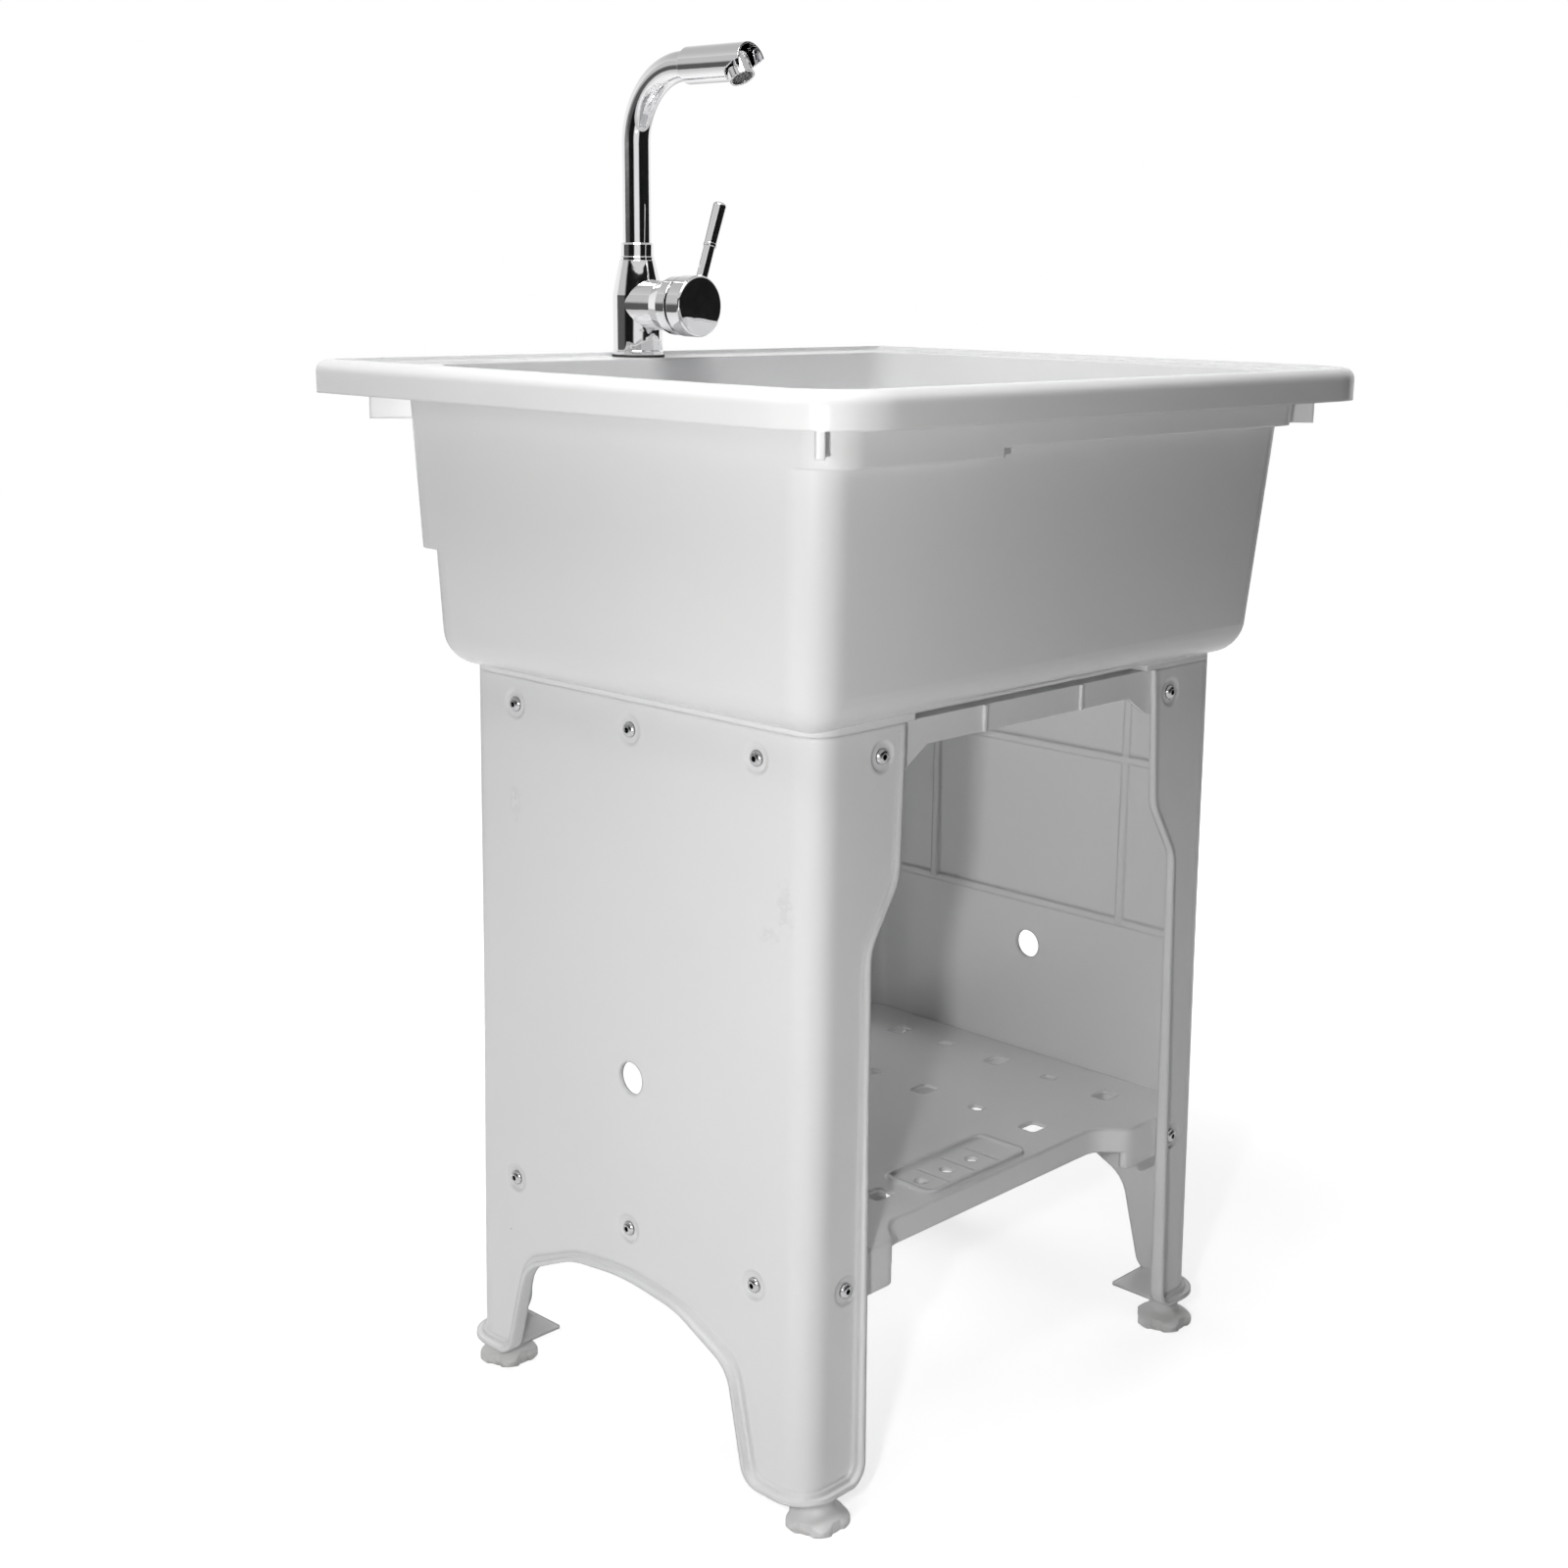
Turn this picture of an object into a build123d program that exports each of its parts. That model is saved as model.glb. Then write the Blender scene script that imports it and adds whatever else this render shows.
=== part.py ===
"""Utility laundry sink: a moulded basin on two moulded side panels, with a shelf,
cross rails, levelling feet, a single-lever mixer tap and a basket waste.

Millimetres. The origin is the bottom centre of the whole object, +Z is up, the
front of the sink faces -Y and the tap deck is at the back, on the +Y side.
"""

import os
from math import cos, radians, sin

from build123d import *

os.makedirs("parts", exist_ok=True)

# Basin: the rim and its skirt
rim_width = 640.0
rim_depth = 540.0
rim_top = 830.0
skirt_height = 24.5
rim_edge_radius = 9.0
front_corner = 60.0
back_corner = 14.0
rim_wall = 4.5
lip_width = 13.0
lip_rise = 3.0
skirt_bottom = rim_top - skirt_height
deck_top = rim_top - lip_rise
deck_under = deck_top - rim_wall

# Basin: the bowl
base_under = 600.0
bowl_half_at_deck = 275.7
bowl_side_draft = 14.0
bowl_half_at_base = bowl_half_at_deck - bowl_side_draft
bowl_front_at_base = -202.4
bowl_front_at_deck = -218.0
bowl_back = 208.0
bowl_corner = 28.0
bowl_bottom_round = 28.0
floor_top = 607.0
inner_half_at_floor = 255.5
inner_half_at_top = 265.0
inner_front_at_floor = -195.5
inner_front_at_top = -209.0
inner_back = 201.0
inner_corner = 34.0
inner_bottom_round = 24.0
ledge_z = 790.0
ledge_front = -222.0
floor_fall = 2.0
floor_fall_radius = 185.0

# Basin: the band under the front of the rim, and the wings at the back corners
band_proud = 12.7
band_left_bottom = 778.0
band_right_bottom = 785.0
band_notch_x = -104.0
wing_back = 225.0
wing_bottom = 690.0
wing_width = 62.0
wing_inner_round = 6.0

# Basin: corner gussets, soap recess, tap hole and waste seat
gusset_thickness = 6.0
gusset_bottom = 786.0
gusset_front_x = 286.0
gusset_front_y = -229.0
gusset_back_x = 282.0
gusset_back_y = 247.0
gusset_length = 44.0
soap_x = -212.0
soap_y = 231.0
soap_length = 142.0
soap_width = 48.0
soap_depth = 10.0
soap_floor = 3.5
tap_x = -20.0
tap_y = 235.0
tap_hole_radius = 15.0
waste_seat_radius = 44.0
waste_seat_depth = 2.5
waste_hole_radius = 23.8

# Basin: foot of the bowl that sits on the stand
ledge_bottom = 596.0
ledge_ring = 22.0
ledge_gap_half = 139.0
flange_thickness = 4.0
flange_bottom = 558.0
flange_front = -150.0
flange_rear = 158.0
flange_clearance = 0.3

# Stand: outline of the two side panels at three heights
stand_mid_y = 4.0
stand_top = 595.9
stand_bend = 340.0
stand_bottom = 27.0
stand_half_x_top = 239.0
stand_half_x_bend = 242.4
stand_half_x_bottom = 248.5
stand_half_y_top = 188.0
stand_half_y_bend = 190.0
stand_half_y_bottom = 192.5
stand_corner = 22.0
panel_wall = 4.0
lip_out_foot = 8.5
lip_out_bend = 3.6
lip_out_top = 0.7
lip_thickness = 3.2
lip_root_share = 0.36
lip_root_width = 6.6

# Stand: free edge of the front and rear returns
edge_top_x = 147.0
edge_high_x = 155.0
edge_high_z = 484.0
edge_waist_x = 184.5
edge_waist_z = 438.0
edge_low_x = 191.0
leg_corner = 18.0
return_foot_drop = 0.7
waist_round = 30.0

# Stand: the arch between the legs
arch_half_low = 138.0
arch_half_high = 117.0
arch_spring_z = 112.0
arch_round = 32.0
arch_half_crown = 60.0
arch_crown_z = 139.0
arch_crown_round = 80.0
arch_top = 146.0
arch_top_round = 200.0

# Stand: beads on the inner face and the hose hole
bead_depth = 2.5
bead_width = 7.0
bead_high_z = 496.0
bead_low_z = 350.0
bead_front_y = -100.0
bead_rear_y = 112.0
hose_hole_radius = 12.7
hose_hole_z = 306.8
hose_hole_y = 2.0
foot_plate_thickness = 4.0
foot_plate_depth_x = 56.0
foot_plate_depth_y = 54.0
foot_plate_round = 18.0

# Fasteners
screw_radius = 2.95
screw_length = 15.5
screw_hole_radius = 3.2
press_gap = 0.02
thread_gap = 0.06
head_radius = 5.9
head_height = 3.4
hex_key_flats = 4.0
hex_key_depth = 2.2
nut_flats = 10.0
nut_thickness = 5.0
nut_bore_radius = 3.0
seat_radius = 10.5
seat_depth = 1.2
side_upper_z = 575.0
side_lower_z = 184.0
side_upper_pitch = 130.8
side_lower_pitch = 136.6
return_upper_x = 172.8
return_lower_x = 205.0
return_upper_z = 575.3
return_lower_z = 184.3

# Cross rails
rail_half_length = 196.0
rail_wall = 3.5
rail_bottom = 576.0
rail_top = 595.6
rail_flange = 26.0
rail_lip = 9.0
rail_end_bottom = 560.0
rail_end_x = 146.0
rail_end_start = 121.0
rail_rib_x = 58.0

# Shelf
shelf_top = 205.0
shelf_plate = 3.5
shelf_half_x = 240.7
shelf_skirt = 21.0
shelf_end_skirt = 36.0
shelf_front_y = -160.0
shelf_front_half = 130.0
shelf_wing_half = 152.0
shelf_wing_y = -182.8
shelf_root_round = 24.0
shelf_step_round = 16.0
slot_column_inner = 97.0
slot_column_outer = 198.0
slot_row_rear = 117.0
slot_row_middle = 0.0
slot_row_front = -121.0
slot_small_rear = 61.0
slot_small_front = -60.0
tray_x = -10.0
tray_y = -126.0
tray_length = 122.0
tray_width = 52.0

# Levelling feet
foot_x = 222.8
foot_y = 181.6
foot_radius = 25.0
foot_web_radius = 20.5
foot_lobe_radius = 9.0
foot_lobe_pitch = 16.0
foot_edge_height = 5.0
foot_dome_height = 14.5
foot_neck_radius = 12.5
stud_radius = 4.0
stud_top = 58.0
insert_radius = 6.4
insert_bore_radius = 4.05
insert_height = 12.0

# Tap: body, spout and lever
tap_base_radius = 21.3
gasket_thickness = 1.8
tap_body_radius = 20.8
tap_shoulder_z = 877.0
collar_radius = 13.5
collar_bottom_z = 905.0
collar_top_z = 919.0
tube_radius = 11.7
tube_bore_radius = 9.5
housing_z = 869.5
housing_radius = 20.0
cap_radius = 24.5
cap_rear_y = 177.0
lever_rod_radius = 4.9
lever_grip_radius = 5.3
lever_grip_taper = 0.9
sleeve_radius = 14.4

# Waste
strainer_flange_radius = 42.5
waste_body_radius = 22.5
waste_body_bottom = 566.0
waste_flange_height = 2.6
waste_edge_height = 1.4
cup_bore_radius = 20.3
seal_radius = 32.0
seal_height = 3.0
locknut_radius = 30.0
locknut_height = 9.0
locknut_lugs = 8
tail_radius = 19.0
tail_bore_radius = 16.8
tail_bottom = 482.0
tail_collar_height = 4.0
slip_nut_half_flats = 27.0
slip_nut_bottom = 555.0
slip_nut_height = 22.0
basket_wall = 1.4
basket_bottom = 578.0
basket_rim_radius = 24.0
basket_top_radius = 19.4
basket_foot_radius = 15.5
basket_hole_radius = 1.7
basket_hole_pitch = 10.0
knob_radius = 5.0
knob_neck_radius = 2.2
knob_top = 610.0


def stand_half_x(height):
    """Half width of the stand's outer face at one height."""
    if height > stand_bend:
        share = (height - stand_bend) / (stand_top - stand_bend)
        return stand_half_x_bend + share * (stand_half_x_top - stand_half_x_bend)
    share = (stand_bend - height) / (stand_bend - stand_bottom)
    return stand_half_x_bend + share * (stand_half_x_bottom - stand_half_x_bend)


def stand_half_y(height):
    """Half depth of the stand's outer face at one height."""
    if height > stand_bend:
        share = (height - stand_bend) / (stand_top - stand_bend)
        return stand_half_y_bend + share * (stand_half_y_top - stand_half_y_bend)
    share = (stand_bend - height) / (stand_bend - stand_bottom)
    return stand_half_y_bend + share * (stand_half_y_bottom - stand_half_y_bend)


def stand_section(height, inset):
    """The stand's rounded outline at one height, drawn in from its outer face."""
    with BuildSketch(Plane.XY.offset(height)) as section:
        with Locations((0, stand_mid_y)):
            RectangleRounded(
                2 * (stand_half_x(height) - inset),
                2 * (stand_half_y(height) - inset),
                stand_corner - inset,
            )
    return section.sketch


def stand_loft(low_inset, bend_inset, high_inset, bottom, top):
    """Solid inside the stand's outer face, drawn in by its own inset at each height."""
    with BuildPart() as tube:
        loft(
            sections=[
                stand_section(bottom, low_inset),
                stand_section(stand_bend, bend_inset),
                stand_section(top, high_inset),
            ],
            ruled=True,
        )
    return tube.part


def stand_tube(inset, bottom, top):
    """Solid inside the stand's outer face drawn in by one inset."""
    return stand_loft(inset, inset, inset, bottom, top)


def lip_tube(share):
    """Solid inside a share of the lips' height; the lips stand out most at the foot."""
    return stand_loft(
        -share * lip_out_foot, -share * lip_out_bend, -share * lip_out_top, stand_bottom - 1, stand_top
    )


def bowl_half(height):
    """Half width of the bowl's outer face at one height."""
    share = (height - base_under) / (deck_under - base_under)
    return bowl_half_at_base + share * (bowl_half_at_deck - bowl_half_at_base)


def bowl_front(height):
    """Front of the bowl's outer face at one height."""
    share = (height - base_under) / (deck_under - base_under)
    return bowl_front_at_base + share * (bowl_front_at_deck - bowl_front_at_base)


def rounded_section(height, half_x, front_y, back_y, corner):
    """A rounded rectangle at one height between a front and a back line."""
    with BuildSketch(Plane.XY.offset(height)) as section:
        with Locations((0, (front_y + back_y) / 2)):
            RectangleRounded(2 * half_x, back_y - front_y, corner)
    return section.sketch


def rim_section(height, inset):
    """The rim's outline, with wide front corners and tight back ones."""
    with BuildSketch(Plane.XY.offset(height)) as section:
        Rectangle(rim_width - 2 * inset, rim_depth - 2 * inset)
        fillet(section.vertices().group_by(Axis.Y)[0], front_corner - inset)
        fillet(section.vertices().group_by(Axis.Y)[-1], back_corner - min(inset, 9.0))
    return section.sketch


def band_section(height, right_x):
    """The front band's outline at one height, from the left side to right_x."""
    left_x = -bowl_half(height)
    front_y = bowl_front(height) - band_proud
    with BuildSketch(Plane.XY.offset(height)) as section:
        with BuildLine():
            Polyline((left_x, -170), (left_x, front_y), (right_x, front_y), (right_x, -170), close=True)
        make_face()
        corners = section.vertices().group_by(Axis.Y)[0].sort_by(Axis.X)
        if right_x > 0:
            fillet(corners, bowl_corner)
        else:
            fillet(corners[0], bowl_corner)
    return section.sketch


def wing_section(height, side):
    """One back wing's outline at one height; side is -1 on the left, 1 on the right."""
    outer_x = side * bowl_half(height)
    inner_x = side * (bowl_half(height) - wing_width)
    with BuildSketch(Plane.XY.offset(height)) as section:
        with BuildLine():
            Polyline((outer_x, 170), (outer_x, wing_back), (inner_x, wing_back), (inner_x, 170), close=True)
        make_face()
        ends = section.vertices().group_by(Axis.Y)[-1].sort_by(Axis.X)
        fillet(ends[0 if side < 0 else -1], bowl_corner)
        fillet(section.vertices().sort_by_distance((inner_x, wing_back, height))[0], wing_inner_round)
    return section.sketch


# Basin: rim, skirt and deck
with BuildPart() as basin:
    add(rim_section(skirt_bottom, 0.0))
    extrude(amount=skirt_height)
    fillet(basin.faces().sort_by(Axis.Z)[-1].edges(), rim_edge_radius)
    add(rim_section(skirt_bottom, rim_wall))
    extrude(amount=deck_under - skirt_bottom, mode=Mode.SUBTRACT)
    # the outer bowl, its front band and its back wings
    loft(
        sections=[
            rounded_section(base_under, bowl_half_at_base, bowl_front_at_base, bowl_back, bowl_corner),
            rounded_section(deck_under + 1, bowl_half(deck_under + 1), bowl_front(deck_under + 1),
                            bowl_back, bowl_corner),
        ]
    )
    fillet(basin.faces().sort_by(Axis.Z)[0].edges(), bowl_bottom_round)
    loft(sections=[band_section(band_right_bottom, bowl_half(band_right_bottom)),
                   band_section(deck_under + 1, bowl_half(deck_under + 1))])
    loft(sections=[band_section(band_left_bottom, band_notch_x),
                   band_section(band_right_bottom + 0.5, band_notch_x)])
    for side in (-1, 1):
        loft(sections=[wing_section(wing_bottom, side), wing_section(deck_under + 1, side)])
    # corner gussets under the rim
    for side in (-1, 1):
        for end_x, end_y, turn in (
            (gusset_front_x, gusset_front_y, 45 * side),
            (gusset_back_x, gusset_back_y, -50 * side),
        ):
            run = -1 if end_y < 0 else 1
            mid_x = side * (end_x - gusset_length / 2 * sin(radians(45)))
            mid_y = end_y - run * gusset_length / 2 * cos(radians(45))
            with Locations(Location((mid_x, mid_y, gusset_bottom), (0, 0, turn))):
                Box(gusset_thickness, gusset_length, deck_under + 1 - gusset_bottom,
                    align=(Align.CENTER, Align.CENTER, Align.MIN))
    # the seat on the stand and the flanges that go down inside the panels
    with BuildSketch(Plane.XY.offset(ledge_bottom)) as seat_ring:
        with Locations((0, stand_mid_y)):
            RectangleRounded(2 * stand_half_x_top, 2 * stand_half_y_top, stand_corner)
            RectangleRounded(2 * (stand_half_x_top - ledge_ring), 2 * (stand_half_y_top - ledge_ring),
                             stand_corner / 2, mode=Mode.SUBTRACT)
            Rectangle(2 * ledge_gap_half, 3 * stand_half_y_top, mode=Mode.SUBTRACT)
    extrude(amount=floor_top - 2.0 - ledge_bottom)
    flange_x = stand_half_x_top - panel_wall - flange_clearance - flange_thickness / 2
    for side in (-1, 1):
        with Locations((side * flange_x, (flange_front + flange_rear) / 2, flange_bottom)):
            Box(flange_thickness, flange_rear - flange_front, base_under + 3 - flange_bottom,
                align=(Align.CENTER, Align.CENTER, Align.MIN))
    # the hollow of the bowl with the step at its front
    with BuildPart(mode=Mode.PRIVATE) as bowl_hollow:
        loft(
            sections=[
                rounded_section(floor_top, inner_half_at_floor, inner_front_at_floor, inner_back,
                                inner_corner),
                rounded_section(rim_top + 6, inner_half_at_top + 0.3, inner_front_at_top, inner_back,
                                inner_corner),
            ]
        )
        fillet(bowl_hollow.faces().sort_by(Axis.Z)[0].edges(), inner_bottom_round)
        add(rounded_section(ledge_z, inner_half_at_top - 1.5, ledge_front, 0.0, 20.0))
        extrude(amount=rim_top + 6 - ledge_z)
    add(bowl_hollow.part, mode=Mode.SUBTRACT)
    # the lowered deck inside the lip
    add(rim_section(deck_top, lip_width))
    extrude(amount=lip_rise + 1, mode=Mode.SUBTRACT)
    # soap recess at the left of the deck
    with BuildSketch(Plane.XY.offset(deck_top - soap_depth - soap_floor)):
        with Locations((soap_x, soap_y)):
            RectangleRounded(soap_length + 8, soap_width + 6, 16)
    extrude(amount=soap_depth + soap_floor - 1)
    with BuildSketch(Plane.XY.offset(deck_top + 1)):
        with Locations((soap_x, soap_y)):
            RectangleRounded(soap_length, soap_width, 14)
    extrude(amount=-soap_depth - 1, taper=14, mode=Mode.SUBTRACT)
    # tap hole, fall of the floor, waste seat and waste hole
    with Locations((tap_x, tap_y, deck_top)):
        Cylinder(tap_hole_radius, 30, mode=Mode.SUBTRACT)
    with Locations((0, 0, floor_top - floor_fall)):
        Cone(waste_seat_radius, floor_fall_radius * 1.25, floor_fall * 1.3,
             align=(Align.CENTER, Align.CENTER, Align.MIN), mode=Mode.SUBTRACT)
        Cylinder(waste_seat_radius, 2 * waste_seat_depth, mode=Mode.SUBTRACT)
        Cylinder(waste_hole_radius, 40, mode=Mode.SUBTRACT)
    # screw holes in the flanges
    for side in (-1, 1):
        for offset in (-side_upper_pitch, 0, side_upper_pitch):
            with Locations(Location((side * flange_x, stand_mid_y + offset, side_upper_z), (0, 90, 0))):
                Cylinder(screw_hole_radius, 4 * flange_thickness, mode=Mode.SUBTRACT)
basin.part.label = "basin"
export_step(basin.part, "parts/basin.step")


def side_profile(inset):
    """The side panel seen from its side: legs and arch, drawn in from its edges."""
    foot = stand_bottom + inset
    outer = 230.0
    half_arch = (
        (arch_half_low + inset, foot, leg_corner - inset),
        (arch_half_high + inset, arch_spring_z + inset, arch_round),
        (arch_half_crown, arch_crown_z + inset, arch_crown_round),
    )
    with BuildSketch(Plane.YZ) as profile:
        with BuildLine():
            Polyline(
                (stand_mid_y - outer, foot),
                *[(stand_mid_y - half_y, height) for half_y, height, _ in half_arch],
                (stand_mid_y, arch_top + inset),
                *[(stand_mid_y + half_y, height) for half_y, height, _ in reversed(half_arch)],
                (stand_mid_y + outer, foot),
                (stand_mid_y + outer, 640),
                (stand_mid_y - outer, 640),
                close=True,
            )
        make_face()
        for half_y, height, radius in half_arch:
            for run in (-1, 1):
                corner = (stand_mid_y + run * half_y, height, 0)
                fillet(profile.vertices().sort_by_distance(corner)[0], radius)
        fillet(profile.vertices().sort_by_distance((stand_mid_y, arch_top + inset, 0))[0], arch_top_round)
    return profile.sketch


def return_profile(inset):
    """The front return seen from the front: its free edge, drawn in from its edges."""
    foot = stand_bottom + inset - return_foot_drop
    edge = (
        (-edge_low_x - inset, foot, leg_corner - inset),
        (-edge_waist_x - inset, edge_waist_z, waist_round),
        (-edge_high_x - inset, edge_high_z, waist_round),
    )
    with BuildSketch(Plane.XZ) as profile:
        with BuildLine():
            Polyline(
                (-300, foot),
                *[(line_x, height) for line_x, height, _ in edge],
                (-edge_top_x - inset, 640),
                (-300, 640),
                close=True,
            )
        make_face()
        for line_x, height, radius in edge:
            fillet(profile.vertices().sort_by_distance((line_x, height, 0))[0], radius)
    return profile.sketch


# Left side panel: an open channel with a flared lip along its edges
stand_hollow = stand_tube(panel_wall, stand_bottom - 9, stand_top + 9)
stand_shell = stand_tube(0.0, stand_bottom - 1, stand_top) - stand_hollow
lip_shell = lip_tube(1.0) - stand_hollow
root_shell = lip_tube(lip_root_share) - stand_hollow
side_keep = extrude(side_profile(0.0), amount=300, both=True)
side_core = extrude(side_profile(lip_thickness), amount=300, both=True)
return_keep = extrude(return_profile(0.0), amount=300, both=True)
return_core = extrude(return_profile(lip_thickness), amount=300, both=True)
side_root = extrude(side_profile(lip_root_width), amount=300, both=True)
return_root = extrude(return_profile(lip_root_width), amount=300, both=True)

with BuildPart() as left_side_panel:
    add(stand_shell & side_keep & return_keep)
    add((lip_shell & side_keep & return_keep) - (side_core & return_core))
    add((root_shell & side_keep & return_keep) - (side_root & return_root))
    # foot plates that close the leg ends
    for run in (-1, 1):
        with BuildPart(mode=Mode.PRIVATE) as leg_end:
            add(stand_tube(panel_wall / 2, stand_bottom - 1, stand_top) & side_keep & return_keep)
            with BuildSketch(Plane.XY.offset(stand_bottom - foot_plate_thickness)):
                with Locations((-stand_half_x_bottom, stand_mid_y + run * stand_half_y_bottom)):
                    RectangleRounded(2 * foot_plate_depth_x, 2 * foot_plate_depth_y, foot_plate_round)
            extrude(amount=2 * foot_plate_thickness, mode=Mode.INTERSECT)
        add(leg_end.part)
    # beads on the inner face
    bead_x = -stand_half_x(450) + panel_wall
    for height in (bead_high_z, bead_low_z):
        with Locations((-stand_half_x(height) + panel_wall, stand_mid_y, height)):
            Box(2 * bead_depth, 2 * (stand_half_y_top - stand_corner), bead_width)
    for line_y in (bead_front_y, bead_rear_y):
        with Locations((bead_x, line_y, (bead_low_z + flange_bottom - 6) / 2)):
            Box(2 * bead_depth, bead_width, flange_bottom - 6 - bead_low_z)
    # hose hole, screw seats and screw holes
    with BuildPart(mode=Mode.PRIVATE) as panel_cuts:
        with Locations(Location((-stand_half_x(hose_hole_z), hose_hole_y, hose_hole_z), (0, 90, 0))):
            Cylinder(hose_hole_radius, 8 * panel_wall)
        for height, pitch in ((side_upper_z, side_upper_pitch), (side_lower_z, side_lower_pitch)):
            for offset in (-pitch, 0, pitch):
                seat_x = -stand_half_x(height) + seat_depth
                with Locations(Location((seat_x, stand_mid_y + offset, height), (0, -90, 0))):
                    Cone(seat_radius, seat_radius + 3, 4, align=(Align.CENTER, Align.CENTER, Align.MIN))
                    Cylinder(screw_hole_radius, 8 * panel_wall)
        for height, line_x in ((return_upper_z, return_upper_x), (return_lower_z, return_lower_x)):
            for run in (-1, 1):
                seat_y = stand_mid_y + run * (stand_half_y(height) - seat_depth)
                with Locations(Location((-line_x, seat_y, height), (-90 * run, 0, 0))):
                    Cone(seat_radius, seat_radius + 1.5, 2, align=(Align.CENTER, Align.CENTER, Align.MIN))
                    Cylinder(screw_hole_radius, 8 * panel_wall)
        for run in (-1, 1):
            with Locations((-foot_x, stand_mid_y + run * foot_y, stand_bottom)):
                Cylinder(stud_radius + 1.5, 30)
    add(panel_cuts.part, mode=Mode.SUBTRACT)
left_side_panel.part.label = "left_side_panel"
export_step(left_side_panel.part, "parts/left_side_panel.step")

with BuildPart() as right_side_panel:
    add(left_side_panel.part.mirror(Plane.YZ))
right_side_panel.part.label = "right_side_panel"
export_step(right_side_panel.part, "parts/right_side_panel.step")

# Front and rear cross rails between the panels, under the basin
rail_face_y = stand_mid_y - stand_half_y(rail_bottom) + panel_wall + flange_clearance
with BuildPart() as front_cross_rail:
    with BuildSketch(Plane((0, rail_face_y, 0), x_dir=(1, 0, 0), z_dir=(0, -1, 0))) as rail_web:
        with BuildLine():
            Polyline(
                (-rail_half_length, rail_end_bottom),
                (-rail_end_x, rail_end_bottom),
                (-rail_end_start, rail_bottom),
                (rail_end_start, rail_bottom),
                (rail_end_x, rail_end_bottom),
                (rail_half_length, rail_end_bottom),
                (rail_half_length, rail_top),
                (-rail_half_length, rail_top),
                close=True,
            )
        make_face()
        fillet(rail_web.vertices().group_by(Axis.Y)[0], 5)
    extrude(amount=-rail_wall)
    with Locations((0, rail_face_y, rail_top)):
        Box(2 * rail_half_length, rail_flange, rail_wall, align=(Align.CENTER, Align.MIN, Align.MAX))
    with Locations((0, rail_face_y, rail_bottom)):
        Box(2 * rail_end_start, rail_lip, rail_wall, align=(Align.CENTER, Align.MIN, Align.MIN))
    with Locations((-rail_rib_x, rail_face_y, rail_bottom), (rail_rib_x, rail_face_y, rail_bottom)):
        Box(3, 4.4, rail_top - rail_bottom, align=(Align.CENTER, Align.CENTER, Align.MIN))
    for line_x in (-return_upper_x, return_upper_x):
        with Locations(Location((line_x, rail_face_y, return_upper_z), (90, 0, 0))):
            Cylinder(screw_hole_radius, 4 * rail_wall, mode=Mode.SUBTRACT)
front_cross_rail.part.label = "front_cross_rail"
export_step(front_cross_rail.part, "parts/front_cross_rail.step")

with BuildPart() as rear_cross_rail:
    add(front_cross_rail.part.mirror(Plane((0, stand_mid_y, 0), x_dir=(1, 0, 0), z_dir=(0, -1, 0))))
rear_cross_rail.part.label = "rear_cross_rail"
export_step(rear_cross_rail.part, "parts/rear_cross_rail.step")


def shelf_section(height, inset):
    """The shelf's outline: long edges set back between the corner wings by rounded steps."""
    half_y = -shelf_wing_y + stand_mid_y - inset
    front_y = -shelf_front_y + stand_mid_y - inset
    half_x = shelf_half_x - inset
    front_half = shelf_front_half + inset
    wing_half = shelf_wing_half + inset
    with BuildSketch(Plane.XY.offset(height)) as section:
        with Locations((0, stand_mid_y)):
            RectangleRounded(2 * half_x, 2 * half_y, 17.0 - inset)
        for run in (-1, 1):
            with BuildLine():
                Polyline(
                    (-wing_half, stand_mid_y + run * (half_y + 4)),
                    (-front_half, stand_mid_y + run * front_y),
                    (front_half, stand_mid_y + run * front_y),
                    (wing_half, stand_mid_y + run * (half_y + 4)),
                    close=True,
                )
            make_face(mode=Mode.SUBTRACT)
        for run in (-1, 1):
            for side in (-1, 1):
                root = (side * front_half, stand_mid_y + run * front_y, 0)
                step = (side * wing_half, stand_mid_y + run * half_y, 0)
                fillet(section.vertices().sort_by_distance(root)[0], shelf_root_round + inset)
                fillet(section.vertices().sort_by_distance(step)[0], shelf_step_round - inset)
    return section.sketch


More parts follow.
